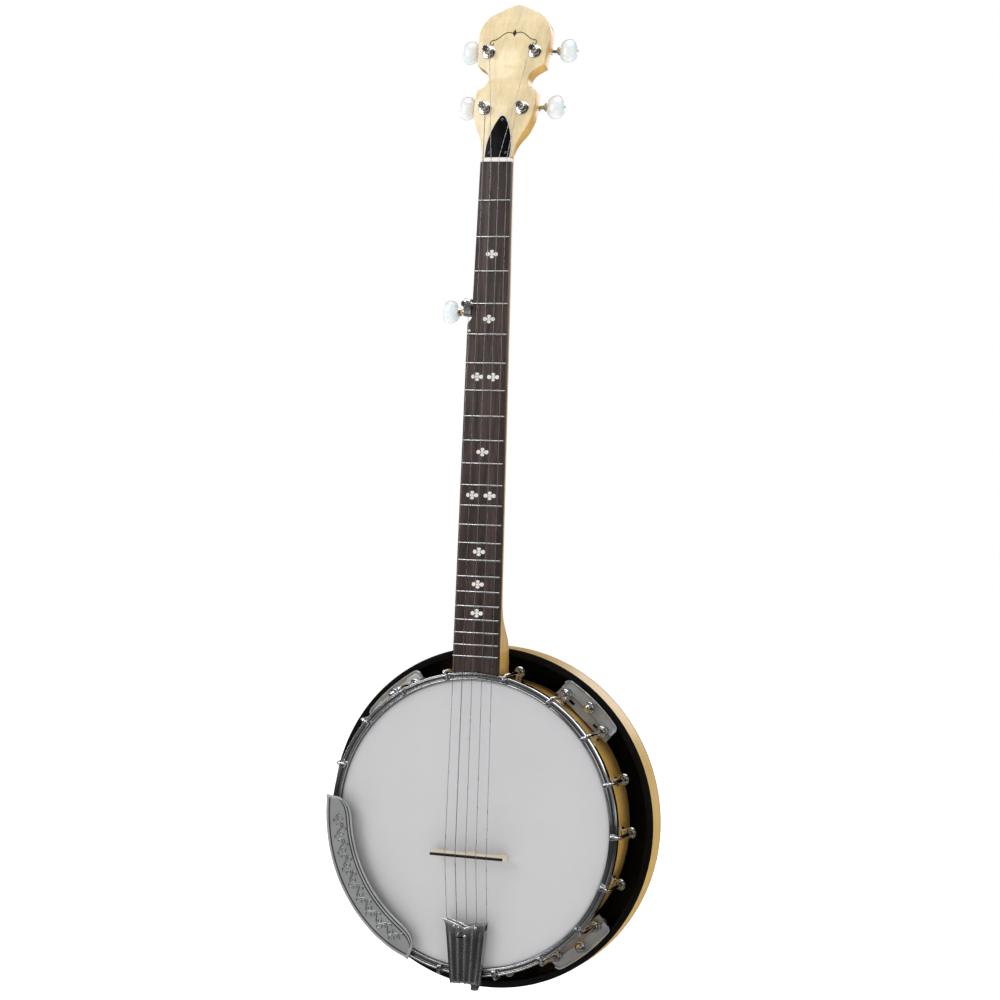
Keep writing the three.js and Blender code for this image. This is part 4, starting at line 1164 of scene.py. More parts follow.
def build_shoes():
    eye = turned("eye", [
        (2.6, SHOE_FRONT + 0.3), (3.0, SHOE_FRONT), (4.7, SHOE_FRONT), (5.3, SHOE_FRONT + 0.7),
        (5.3, SHOE_BACK - 0.6), (4.8, SHOE_BACK), (2.6, SHOE_BACK)
    ], 32)
    place(eye, Matrix.Translation((0, 0, HOOK_RADIUS * MM)))
    web = block(
        "web", (-3.0, SHOE_FRONT + 1.0, RIM_OUTER - 0.6), (3.0, SHOE_BACK - 0.3, HOOK_RADIUS - 3.6), 0.8, 3
    )
    foot = block(
        "foot", (-4.4, SHOE_FRONT + 0.4, RIM_OUTER - 0.6), (4.4, SHOE_BACK + 4, RIM_OUTER + 2.2), 0.9, 3
    )
    bolt = drum("bolt", 2.6, RIM_OUTER + 2, RIM_OUTER + 3.4, "Z", (0, SHOE_BACK + 2), 20, 0.5)
    pattern = smooth(join("shoe_pattern", [eye, web, foot, bolt]))
    for node, angle in hook_angles().items():
        shoe = copy(pattern, node.replace("hook", "bracket_shoe"), about(angle))
        finished(shoe, "chrome", "frame", "chrome")
    bpy.data.objects.remove(pattern)


def build_rim():
    wood = [(RIM_INNER, RIM_FRONT), (RIM_OUTER, RIM_FRONT), (RIM_OUTER, RIM_BACK), (RIM_INNER, RIM_BACK)]
    rim = turned("wooden_rim", wood, ROUND, edge=0.8)
    cut(rim, drum("bolt_hole", 4.5, -200, 200, "Z", (0, ROD_BACK), 32))
    finished(place(smooth(rim), POT), "rim_maple", "frame", "maple", "rim")
    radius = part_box("tone_ring")[1].x / MM - 3.1
    section = [(radius + 3.1 * cos(2 * pi * i / 16), 3.5 + 3.1 * sin(2 * pi * i / 16)) for i in range(16)]
    ring = place(turned("rolled_tone_ring", section, ROUND), POT)
    finished(ring, "brass", "frame", "brass", "tone_ring")


def build_rod():
    parts = [drum("rod", 4.0, -164, 152, "Z", (0, ROD_BACK), 32, 0.6)]
    for low, high, size in ((113, 120.4, 7.5), (-120.4, -113, 7.5), (-145, -139.2, 7.5), (-160, -152.6, 6.5)):
        parts.append(drum("nut", size, low, high, "Z", (0, ROD_BACK), 6, 0.6))
    parts.append(drum("washer", 8.6, -139.2 - 0.6, -139.0, "Z", (0, ROD_BACK), 32, 0.2))
    rod = place(smooth(join("coordinator_rod_steel", parts)), POT)
    finished(rod, "steel", "frame", "steel", "coordinator_rod")


# ---------------------------------------------------------------- resonator
def thumb_angle(place_name):
    at = POT.inverted() @ Vector(joint(f"thumb_screw_{place_name}_turn")["pos_m"])
    return atan2(at.x, at.z) * 180 / pi


def build_resonator():
    binding = bpy.context.scene.banjo_sizes.binding / MM
    outer, inside = RESONATOR_OUTER, RESONATOR_INSIDE
    side = turned(
        "resonator_side",
        [
            (inside, RESONATOR_FRONT + binding), (outer, RESONATOR_FRONT + binding),
            (outer, RESONATOR_EDGE - 0.2), (inside, RESONATOR_EDGE - 0.2)
        ],
        ROUND,
    )
    finished(place(side, POT), "side_maple", "frame", "maple", "resonator")
    front = turned(
        "resonator_front_binding",
        [
            (inside - 0.4, RESONATOR_FRONT), (outer + 0.1, RESONATOR_FRONT),
            (outer + 0.1, RESONATOR_FRONT + binding), (inside - 0.4, RESONATOR_FRONT + binding)
        ],
        ROUND,
        edge=0.7,
    )
    finished(place(front, POT), "black_binding", "frame", "black_plastic")
    edge_line = turned(
        "resonator_back_binding",
        [
            (inside + 2, RESONATOR_EDGE - 0.3), (outer + 0.08, RESONATOR_EDGE - 0.3),
            (outer - 0.2, RESONATOR_EDGE + 1.6), (inside + 2, RESONATOR_EDGE + 1.6)
        ],
        ROUND,
    )
    finished(place(edge_line, POT), "black_binding", "frame", "black_plastic")
    curve = [
        (outer - 0.3, RESONATOR_EDGE + 1.5, 0), (outer - 3.4, RESONATOR_EDGE + 3.4, 0),
        (150, RESONATOR_BACK - 7.2, 0)
    ]
    curve = flowing([*curve, (110, RESONATOR_BACK - 2.4, 0), (70, RESONATOR_BACK - 0.1, 0)], 6)
    inner_face = RESONATOR_BACK - 4.6
    seam = RESONATOR_EDGE - 0.2
    profile = [(x, y) for x, y, _ in curve] + [(60, RESONATOR_BACK), (0, RESONATOR_BACK)]
    profile += [(0, inner_face), (60, inner_face), (inside, seam), (outer - 0.5, seam)]
    back = turned("resonator_back", profile, ROUND)
    finished(place(back, POT), "back_maple", "frame", "maple")
    lining_profile = [
        (inside - 0.5, RESONATOR_FRONT + 0.6), (inside + 0.2, RESONATOR_FRONT + 0.6), (inside + 0.2, 66),
        (147, 71), (110, 75.8), (60, 79.0), (0, 79.0)
    ]
    lining_profile += [(0, 78.4), (60, 78.4), (110, 75.2), (146.6, 70.3), (inside - 0.5, 65.4)]
    lining = turned("resonator_lining", lining_profile, ROUND)
    finished(place(lining, POT), "black_lacquer", "frame", "black_plastic")
    for name in THUMB_SCREWS:
        lug = block("lug", (-7, 48, 148), (7, 60, RESONATOR_INSIDE + 0.3), 1.2, 3)
        cut(lug, drum("bore", 3.0, 40, 58.5, "Y", (0, THUMB_DISTANCE), 24))
        insert = turned("insert", [(2.7, 47.8), (4.2, 47.8), (4.2, 58), (2.7, 58)], 24)
        place(insert, Matrix.Translation((0, 0, THUMB_DISTANCE * MM)))
        finished(place(lug, about(thumb_angle(name))), "black_lacquer", "frame", "black_plastic")
        lug.name = f"resonator_lug_{name}"
        insert.name = f"lug_insert_{name}"
        finished(place(insert, about(thumb_angle(name))), "brass", "frame", "brass")


PLATE_HALF = 34.0
PLATE_OUTER = 162.2
PLATE_PROFILE = [  # across the plate from its inner edge: distance from the pot's centre, front face
    (141.0, 42.5), (142.2, 42.9), (147.6, 44.1), (149.0, 44.2), (149.8, 43.4), (150.5, 42.1), (151.2, 42.0),
    (151.9, 42.4), (152.6, 42.7), (155.0, 43.1), (158.6, 43.7), (160.2, 43.9), (161.2, 43.3), (162.2, 42.3),
]
PLATE_THICK = 1.3
PLATE_CORNER = 4.0


def plate_drop(share, x):
    """How far a point of the plate is drawn in towards the pot, so that its outer edge keeps round the
    pot."""
    arc = PLATE_OUTER - sqrt(PLATE_OUTER**2 - x**2)
    past = max(0.0, abs(x) - (PLATE_HALF - PLATE_CORNER))
    corner = PLATE_CORNER - sqrt(PLATE_CORNER**2 - past**2)
    return share * (arc + corner * share**6)


def build_flange_plates():
    columns, rows = 56, len(PLATE_PROFILE) - 1
    inner = PLATE_PROFILE[0][0]
    deselect()
    bpy.ops.mesh.primitive_grid_add(x_subdivisions=columns, y_subdivisions=rows, size=2)
    sheet = named("sheet")
    for corner in sheet.data.vertices:
        x = corner.co.x * PLATE_HALF
        z, y = PLATE_PROFILE[round((corner.co.y + 1) / 2 * rows)]
        lip = max(0.0, (abs(x) - (PLATE_HALF - 2.5)) / 2.5)
        corner.co = (
            x * MM, (y - 0.9 * lip) * MM, (z - plate_drop((z - inner) / (PLATE_OUTER - inner), x)) * MM
        )
    edit(sheet)
    bpy.ops.mesh.normals_make_consistent(inside=False)
    done()
    if sheet.data.polygons[0].normal.y > 0:
        edit(sheet)
        bpy.ops.mesh.flip_normals()
        done()
    modifier(sheet, "SOLIDIFY", thickness=PLATE_THICK * MM, offset=-1)
    along = radians(9.8)
    holes = [drum("hole", 3.1, 30, 60, "Y", (0, THUMB_DISTANCE), 24)]
    for side in (-1, 1):
        holes.append(
            drum("hole", 4.9, 30, 60, "Y", (side * HOOK_RADIUS * sin(along), HOOK_RADIUS * cos(along)), 28)
        )
        low, high = sorted((side * 13.2, side * 20.2))
        holes.append(slab("slot", rounded_rectangle((low, 143.4), (high, 146.0), 1.2), 60, 30))
    cut(sheet, *holes)
    bevel(sheet, 0.3, 2, 40)
    pattern = smooth(sheet, 40)
    for name in THUMB_SCREWS:
        plate = copy(pattern, f"pot_plate_{name}", about(thumb_angle(name)))
        finished(plate, "satin", "frame", "chrome", f"flange_plate_{name}")
    bpy.data.objects.remove(pattern)


def build_thumb_screws():
    profile = [
        (0, 32.0), (1.4, 32.1), (2.4, 32.7), (2.9, 33.8), (2.6, 34.9), (1.9, 35.6), (1.8, 36.4), (3.0, 36.8)
    ]
    profile += [
        (5.0, 37.0), (5.5, 37.5), (5.5, 40.2), (5.0, 40.8), (3.4, 41.2), (3.4, 42.0), (2.5, 42.0), (2.5, 57),
        (0, 57)
    ]
    knob = turned("knob", profile, 40)
    flutes = []
    for i in range(14):
        turn = 2 * pi * i / 14
        flutes.append(drum("flute", 0.6, 36, 41.0, "Y", (5.7 * sin(turn), 5.7 * cos(turn)), 10))
    cut(knob, join("flutes", flutes))
    pattern = smooth(place(knob, Matrix.Translation((0, 0, THUMB_DISTANCE * MM))), 35)
    for name in THUMB_SCREWS:
        screw = copy(pattern, f"knurled_screw_{name}", about(thumb_angle(name)))
        finished(screw, "chrome", f"thumb_screw_{name}", "chrome", f"thumb_screw_{name}")
    bpy.data.objects.remove(pattern)


# ---------------------------------------------------------------- bridge, tailpiece, armrest
def build_bridge():
    half = 39.0
    foot = -HEAD_SKIN - 0.05
    cap = BRIDGE_TOP + 2.2
    arch = []
    for side in (-1, 1):
        middle = side * 17.25
        span = 12.4
        for i in range(15):
            turn = pi * (1 - i / 14)
            arch.append((middle + span * cos(turn), foot - 5.5 * sin(turn) ** 0.8))
    outline = [
        (-half + 1.2, foot), *arch, (half - 1.2, foot), (half - 2.4, foot - 5.5), (half - 0.6, foot - 9.5),
        (half - 0.8, cap)
    ]
    outline += [(-half + 0.8, cap), (-half + 0.6, foot - 9.5), (-half + 2.4, foot - 5.5)]
    upright = Matrix(((1, 0, 0, 0), (0, 0, 1, 0), (0, -1, 0, 0), (0, 0, 0, 1)))
    wood = slab("bridge_wood", outline, 3.0, -3.0, 0.35)
    wood = place(wood, POT @ Matrix.Translation((0, 0, BRIDGE_Z * MM)) @ upright)
    for corner in wood.data.vertices:
        local = POT.inverted() @ corner.co
        rise = (foot - local.y / MM) / (foot - BRIDGE_TOP)
        local.z = BRIDGE_Z * MM + (local.z - BRIDGE_Z * MM) * (1 - 0.56 * rise)
        corner.co = POT @ local
    finished(wood, "bridge_maple", "frame", "bridge_maple", "bridge")
    top = block(
        "bridge_cap", (-half + 1.4, BRIDGE_TOP, BRIDGE_Z - 1.3), (half - 1.4, cap + 0.1, BRIDGE_Z + 1.3),
        0.45, 3
    )
    nicks = [
        drum("nick", 0.42, BRIDGE_Z - 4, BRIDGE_Z + 4, "Z", ((3 - n) * STRING_BRIDGE, BRIDGE_TOP - 0.1), 10)
        for n in range(1, 6)
    ]
    cut(top, *nicks)
    finished(place(smooth(top), POT), "ebony", "frame", "black_plastic")


def build_tailpiece_base():
    pan = slab(
        "pan",
        [
            (-21.4, TAIL_FRONT - 1), (-20.6, -101), (-17.7, -103), (-12.4, -149), (12.4, -149), (17.7, -103),
            (20.6, -101), (21.4, TAIL_FRONT - 1), (0, TAIL_FRONT - 6)
        ],
        -5.2,
        -6.7,
        0.4,
    )
    parts = [pan, drum("barrel", 1.6, -13.2, 13.2, "X", (-3.6, -151.4), 24, 0.3)]
    parts.append(block("heel", (-12.4, -6.7, -152), (12.4, -3.6, -148.6), 0.6))
    strap = block("strap", (-6, -5, -152.2), (6, 28, -149.2), 0.8)
    cut(strap, drum("bore", 4.4, -170, -140, "Z", (0, ROD_BACK), 24))
    parts.append(strap)
    for x, z in LUGS:
        lug = turned(
            "lug", [(0, -10.2), (1.2, -10.2), (1.7, -9.7), (1.7, -9.1), (1.0, -8.7), (1.0, -6.0), (0, -6.0)],
            20
        )
        parts.append(place(lug, Matrix.Translation((x * MM, 0, z * MM))))
    base = place(smooth(join("tailpiece_pan", parts)), POT)
    finished(base, "chrome", "frame", "chrome", "tailpiece_base")
    bolt = [drum("barrel_nut", 3.9, -166, -156.4, "Z", (0, ROD_BACK - 2.0), 28, 0.7)]
    bolt.append(drum("screw", 1.9, -157, -152, "Z", (0, ROD_BACK - 2.0), 20))
    bolt_piece = smooth(join("tail_adjusting_nut", bolt))
    finished(place(bolt_piece, POT), "nickel", "frame", "chrome")


TAIL_END = -155.0
TAIL_FLUTES = 5


def lid_point(s, t):
    """A point of the fluted lid: s across it from -1 to 1, t along it from 0 at the tail to 1 at the
    strings."""
    flare = max(0.0, (t - 0.86) / 0.14)
    half = 14.6 + 5.6 * min(t / 0.86, 1) + 2.6 * flare**1.6
    dip = 8.0 * (1 - abs(s)) ** 1.15 * max(0.0, (t - 0.78) / 0.22)
    ridge = abs(cos(pi * TAIL_FLUTES * (s + 1) / 2)) ** 0.55
    depth = 1.7 * ridge * (1 - 0.85 * max(0.0, (t - 0.72) / 0.28))
    lip = -1.9 * max(0.0, (t - 0.93) / 0.07) ** 1.5
    fall = 5.5 * max(0.0, 1 - t / 0.05) ** 1.6
    scallop = 1.9 * ridge if t < 0.02 else 0.0
    return half * s, TAIL_LID - 0.9 + depth + lip + fall, TAIL_END + (
        TAIL_FRONT - TAIL_END
    ) * t - dip + scallop


def build_tailpiece_cover():
    """The fluted lid: rounded flutes that narrow to the tail, a raised V lip at the front and a turned-down
    end."""
    rows, columns = 40, 80
    deselect()
    bpy.ops.mesh.primitive_grid_add(x_subdivisions=columns, y_subdivisions=rows, size=2)
    lid = named("tailpiece_lid")
    for corner in lid.data.vertices:
        corner.co = [value * MM for value in lid_point(corner.co.x, (corner.co.y + 1) / 2)]
    edit(lid)
    bpy.ops.mesh.normals_make_consistent(inside=False)
    done()
    modifier(lid, "SOLIDIFY", thickness=0.9 * MM, offset=0)
    slots = [
        slab("slot", rounded_rectangle((-8.4, z - 0.75), (-1.6, z + 0.75), 0.5), 0, -20)
        for z in (-105.2, -109.2)
    ]
    cut(lid, *slots)
    bevel(lid, 0.2, 2, 50)
    parts = [smooth(lid, 50)]
    for side in (-1, 1):
        wall = [(side * 18.9, -103), (side * 19.9, -103), (side * 14.5, -154.6), (side * 13.5, -154.6)]
        parts.append(slab("wall", wall, -4.4, TAIL_LID + 0.3, 0.3))
        low, high = sorted((side * 7, side * 14.4))
        parts.append(block("end", (low, TAIL_LID + 4, -154.9), (high, -1, -153.9), 0.3))
    cover = place(join("tailpiece_lid", parts), POT)
    finished(cover, "lid", "tailpiece_cover", "chrome", "tailpiece_cover")
    studs = []
    for x, z, radius in ((0.6, -107.6, 1.9), (11.3, -98.6, 2.1), (-11.0, -98.6, 1.9), (-6.0, -99.8, 1.5)):
        front = TAIL_LID - 1.6
        ball = [
            (0, front - radius), (0.5 * radius, front - 0.87 * radius), (0.87 * radius, front - 0.5 * radius)
        ]
        ball += [
            (radius, front), (0.8 * radius, front + 0.6), (0.5 * radius, front + 1.0),
            (0.5 * radius, front + 3), (0, front + 3)
        ]
        studs.append(place(turned("stud", ball, 24), Matrix.Translation((x * MM, 0, z * MM))))
    finished(place(join("tailpiece_studs", studs), POT), "chrome", "tailpiece_cover", "chrome")


ARM_OUTER_EDGE = [  # degrees round the pot, radius
    (-83.4, 151.4), (-88.0, 151.0), (-94.0, 150.5), (-100.0, 150.3), (-140.0, 150.3), (-147.0, 149.9),
    (-152.0, 149.2), (-156.4, 148.2),
]
ARM_INNER_EDGE = [
    (
        -82.8, 138.5
    ), (-83.1, 135.6), (-83.6, 133.0), (-84.2, 130.2), (-85.1, 127.6), (-86.6, 125.2), (-88.7, 123.4),
    (-91.5, 122.4), (-96.0, 121.9), (-102.0, 121.4), (-110.0, 121.0), (-118.0, 120.7), (-134.0, 120.6),
    (
        -142.0, 121.0
    ), (-147.5, 121.7), (-150.5, 123.0), (-152.8, 125.1), (-154.6, 128.4), (-155.7, 132.3), (-156.2, 136.0),
    (-156.4, 139.4),
]
ARM_INNER_PROFILE = [  # in from the inner edge, front face
    (0.0, -11.2), (
        0.25, -12.4
    ), (0.8, -13.0), (1.7, -13.0), (2.1, -12.6), (2.5, -11.4), (3.2, -11.4), (3.6, -12.6),
    (4.8, -12.7), (5.2, -12.3), (5.6, -11.4), (6.3, -11.4), (6.8, -12.1),
]
ARM_OUTER_PROFILE = [
    (4.6, -12.1), (4.1, -11.4), (3.4, -11.4), (3.0, -12.6), (1.7, -12.8), (0.9, -12.3), (
        0.25, -11.2
    ), (0.0, -9.4),
]
ARM_PANEL = 135.5  # radius of the vine that runs along the sunk panel


def along_edge(table, degrees):
    """The radius of an edge at an angle, from the two rows of its table that hold the angle between them."""
    for (start, radius), (end, next_radius) in zip(table, table[1:]):
        if degrees >= end:
            return radius + (next_radius - radius) * max(0.0, (start - degrees) / (start - end))
    return table[-1][1]


def armrest_row(degrees, to_end):
    """Points across the armrest at an angle. Its border is raised, and at the ends the border closes the
    panel."""
    inner, outer = along_edge(ARM_INNER_EDGE, degrees), along_edge(ARM_OUTER_EDGE, degrees)
    squeeze = min(1.0, (outer - inner) / 13.0)
    across = [(inner + step * squeeze, y) for step, y in ARM_INNER_PROFILE]
    last = [(outer - step * squeeze, y) for step, y in ARM_OUTER_PROFILE]
    for share in (0.25, 0.5, 0.75):
        across.append((across[len(ARM_INNER_PROFILE) - 1][0] * (1 - share) + last[0][0] * share, -12.1))
    closed = max(0.0, min(1.0, (3.4 - to_end) / 1.2))
    rounded = max(0.0, 1 - to_end / 0.8) ** 2
    points = []
    for radius, y in across + last:
        raised = min(y, y * (1 - closed) - 12.6 * closed) + 1.2 * rounded
        points.append((radius * sin(radians(degrees)), min(raised, -9.3), radius * cos(radians(degrees))))
    return points


def build_armrest():
    start, end = ARM_INNER_EDGE[0][0], ARM_INNER_EDGE[-1][0]
    steps = 120
    rows = []
    for i in range(steps + 1):
        degrees = start + (end - start) * (1 - cos(pi * i / steps)) / 2
        to_end = radians(min(start - degrees, degrees - end)) * 145
        rows.append(armrest_row(degrees, to_end))
    columns = len(rows[0]) - 1
    deselect()
    bpy.ops.mesh.primitive_grid_add(x_subdivisions=columns, y_subdivisions=steps, size=2)
    plate = named("armrest_plate")
    for corner in plate.data.vertices:
        column = round((corner.co.x + 1) / 2 * columns)
        row = round((corner.co.y + 1) / 2 * steps)
        corner.co = [value * MM for value in rows[row][column]]
    edit(plate)
    bpy.ops.mesh.normals_make_consistent(inside=False)
    done()
    if sum(face.normal.y for face in plate.data.polygons) > 0:
        edit(plate)
        bpy.ops.mesh.flip_normals()
        done()
    modifier(plate, "SOLIDIFY", thickness=1.2 * MM, offset=-1)
    smooth(plate, 45)
    finished(place(plate, POT), "brushed", "frame", "brushed_plate", "armrest")
    finished(place(armrest_vine(start, end), POT), "nickel", "frame", "chrome")
    feet = []
    for angle in (-100.2, -139.4):
        strap = block("strap", (-4, -11.4, HOOP_OUTER + 0.5), (4, 11, HOOP_OUTER + 2.2), 0.5)
        toe = block("toe", (-4, HOOP_BACK + 0.6, 143.6), (4, 11, HOOP_OUTER + 1), 0.6)
        screw = drum("screw", 2.4, HOOP_OUTER + 2, HOOP_OUTER + 3.4, "Z", (0, 5), 24, 0.5)
        feet.append(place(join("foot", [strap, toe, screw]), Matrix.Rotation(radians(angle), 4, "Y")))
    finished(place(smooth(join("armrest_clamps", feet)), POT), "chrome", "frame", "chrome")


def armrest_vine(start, end):
    """A raised vine: a waving stem with a curl and a pair of leaves in each bay."""
    bays, each = 9, 16
    proud = -12.4
    first, length = 0.09, 0.82

    def spot(t, radius):
        angle = radians(start + (end - start) * t)
        return radius * sin(angle), proud, radius * cos(angle)

    stem = []
    for i in range(bays * each + 1):
        share = i / (bays * each)
        stem.append(spot(first + length * share, ARM_PANEL + 3.6 * sin(2 * pi * bays * share)))
    parts = [tube("stem", stem, 0.5, 2)]
    for bay in range(2 * bays):
        middle = first + length * (bay + 0.5) / (2 * bays)
        sign = 1 if bay % 2 == 0 else -1
        curl = []
        for i in range(18):
            turn = 1.7 * pi * i / 17
            reach = 3.0 * (1 - i / 24)
            curl.append(
                spot(middle + sign * 0.0054 * reach * sin(turn), ARM_PANEL - sign * (0.6 + reach * cos(turn)))
            )
        parts.append(tube("curl", curl, 0.42, 2))
        leaf = [
            spot(middle + 0.009 + 0.004 * i, ARM_PANEL + sign * (5.0 + 1.6 * sin(pi * i / 5)))
            for i in range(6)
        ]
        parts.append(tube("leaf", leaf, 0.6, 2))
    return join("armrest_vine", parts)


# ---------------------------------------------------------------- strings
def in_pot(matrix, x, y, z):
    point = matrix @ Vector((x * MM, y * MM, z * MM))
    return tuple(value / MM for value in point)


def string_start(number, gauge):
    across = 3 - number
    lug_x, lug_z = LUGS[across + 2]
    over = BRIDGE_TOP - gauge + 0.1
    outward_way = (across > 0) - (across < 0)
    return [
        (lug_x + outward_way * 0.6, -8.2, lug_z + 1.2),
        (across * STRING_TAIL, -8.9, TAIL_FRONT - 0.6),
        (across * STRING_BRIDGE, over, BRIDGE_Z),
    ]


def build_strings():
    for number, (side, (x, z)) in PEG_STRINGS.items():
        gauge = GAUGES[number]
        points = string_start(number, gauge)
        nut_x = (2.5 - number) * STRING_NUT
        over = -2.0 - gauge * 0.5
        points.append(in_pot(NECK_TO_POT, nut_x, over, 0.6))
        points.append(in_pot(NECK_TO_POT, nut_x, over, 4.4))
        points.append(in_pot(PEG_TO_POT, side * (x - 2.55 - gauge), -6.6, z))
        add_string(number, points, gauge)
    points = string_start(5, GAUGES[5])
    points.append(in_pot(NECK_TO_POT, -19.9, -2.1, -(fret_distance(5) - 3.3)))
    points.append(in_pot(NECK_TO_POT, FIFTH_POST[0] + 2.2, -4.1, FIFTH_POST[1]))
    add_string(5, points, GAUGES[5])


def add_string(number, points, gauge):
    wire = tube(f"string_wire_{number}", points, gauge, 2)
    loop = []
    x, z = LUGS[3 - number + 2]
    for i in range(16):
        turn = 2 * pi * i / 16
        loop.append((x + 1.35 * sin(turn), -8.2, z + 1.35 * cos(turn)))
    piece = join(f"string_wire_{number}", [wire, tube("loop", loop, 0.3, 2)])
    look = "bass_string" if number == 4 else "string"
    finished(place(smooth(piece, 60), POT), look, "frame", "string_wire", f"string_{number}")


# ---------------------------------------------------------------- stage
VIEW_AZIMUTH = radians(20.64)
VIEW_ELEVATION = radians(1.97)
VIEW_ROLL = radians(1.61)
VIEW_DISTANCE = 2.5348
VIEW_LENS = 94.37
VIEW_CENTRE = (0.01957, 0.06453)  # right and up from the point that the view turns about
VIEW_HEIGHT = 0.25  # of that point above the pot's centre
FLOOR_BELOW = 0.12  # the banjo hangs by its neck, clear of the floor


def view_frame():
    back = Vector((
        sin(VIEW_AZIMUTH) * cos(VIEW_ELEVATION),
        -cos(VIEW_AZIMUTH) * cos(VIEW_ELEVATION),
        sin(VIEW_ELEVATION),
    ))
    right = (-back).cross(Vector((0, 0, 1))).normalized()
    up = right.cross(-back)
    rolled_right = right * cos(VIEW_ROLL) + up * sin(VIEW_ROLL)
    rolled_up = up * cos(VIEW_ROLL) - right * sin(VIEW_ROLL)
    return rolled_right, rolled_up, back


def build_stage():
    right, up, back = view_frame()
    pot = POT.translation
    target = pot + Vector((0, 0, VIEW_HEIGHT)) + right * VIEW_CENTRE[0] + up * VIEW_CENTRE[1]
    bpy.ops.object.camera_add()
    camera = named("view_camera")
    camera.matrix_world = Matrix(
        ((right.x, up.x, back.x, 0), (right.y, up.y, back.y, 0), (right.z, up.z, back.z, 0), (0, 0, 0, 1))
    )
    camera.location = target + back * VIEW_DISTANCE
    camera.data.lens = VIEW_LENS
    camera.data.sensor_width = 36
    camera.data.clip_end = 60
    bpy.context.scene.camera = camera
    floor_height = CAD_BOX[0][2] - FLOOR_BELOW
    bpy.ops.mesh.primitive_plane_add(size=24, location=(0, 0, floor_height))
    floor = named("studio_floor")
    recipe = Recipe("studio_floor", roughness=0.9, base_color=(0.82, 0.82, 0.82, 1))
    recipe.shader.inputs["Emission Color"].default_value = (1, 1, 1, 1)
    recipe.shader.inputs["Emission Strength"].default_value = 0.66
    floor.visible_glossy = False
    floor.data.materials.append(recipe.material)
    build_lights(target)
    build_world()


def soft_light(name, place_at, aim, size, power):
    bpy.ops.object.light_add(type="AREA", location=place_at)
    lamp = named(name)
    lamp.data.shape = "RECTANGLE"
    lamp.data.size, lamp.data.size_y = size
    lamp.data.energy = power
    lamp.rotation_euler = (Vector(aim) - Vector(place_at)).to_track_quat("-Z", "Y").to_euler()
    return lamp


def build_lights(target):
    soft_light("key_softbox", (-1.9, -2.3, 1.2), target, (1.5, 1.9), 34)
    soft_light("fill_softbox", (2.4, -1.9, 0.2), target, (1.1, 2.2), 6)
    soft_light("top_softbox", (0.1, -0.3, 2.2), target, (2.4, 2.0), 22)
    soft_light("back_softbox", (0.8, 2.6, 0.9), target, (2.2, 1.8), 24)
    soft_light("rear_left_softbox", (-2.4, 1.6, 0.3), target, (1.0, 2.0), 16)


MIRRORED_HEIGHTS = (  # half of one plus the height of a mirrored ray, and how bright the studio is there
    (0.0, 0.25), (0.30, 0.08), (
        0.42, 0.015
    ), (0.45, 0.06), (0.47, 0.26), (0.49, 0.32), (0.52, 0.12), (0.60, 0.06),
    (0.66, 0.45), (0.70, 0.08), (0.90, 0.06), (0.95, 0.9), (1.0, 1.0),
)
MIRRORED_SIDES = (  # share of a turn about the vertical, and how much brighter the studio is on that side
    (0.0, 0.8), (0.10, 1.8), (0.13, 0.4), (0.17, 1.0), (0.21, 1.0), (0.235, 2.6), (0.255, 0.5), (0.33, 0.3),
    (0.36, 2.4), (0.42, 0.4), (0.50, 1.0), (0.62, 0.4), (0.68, 2.2), (0.75, 0.5), (0.88, 2.0), (1.0, 0.8),
)


def graded(tree, value, stops):
    ramp = tree.nodes.new("ShaderNodeValToRGB")
    tree.links.new(value, ramp.inputs["Fac"])
    bar = ramp.color_ramp.elements
    while len(bar) < len(stops):
        bar.new(0.5)
    for stop, (position, level) in zip(bar, stops):
        stop.position = position
        stop.color = (level, level, level, 1)
    return ramp.outputs["Color"]


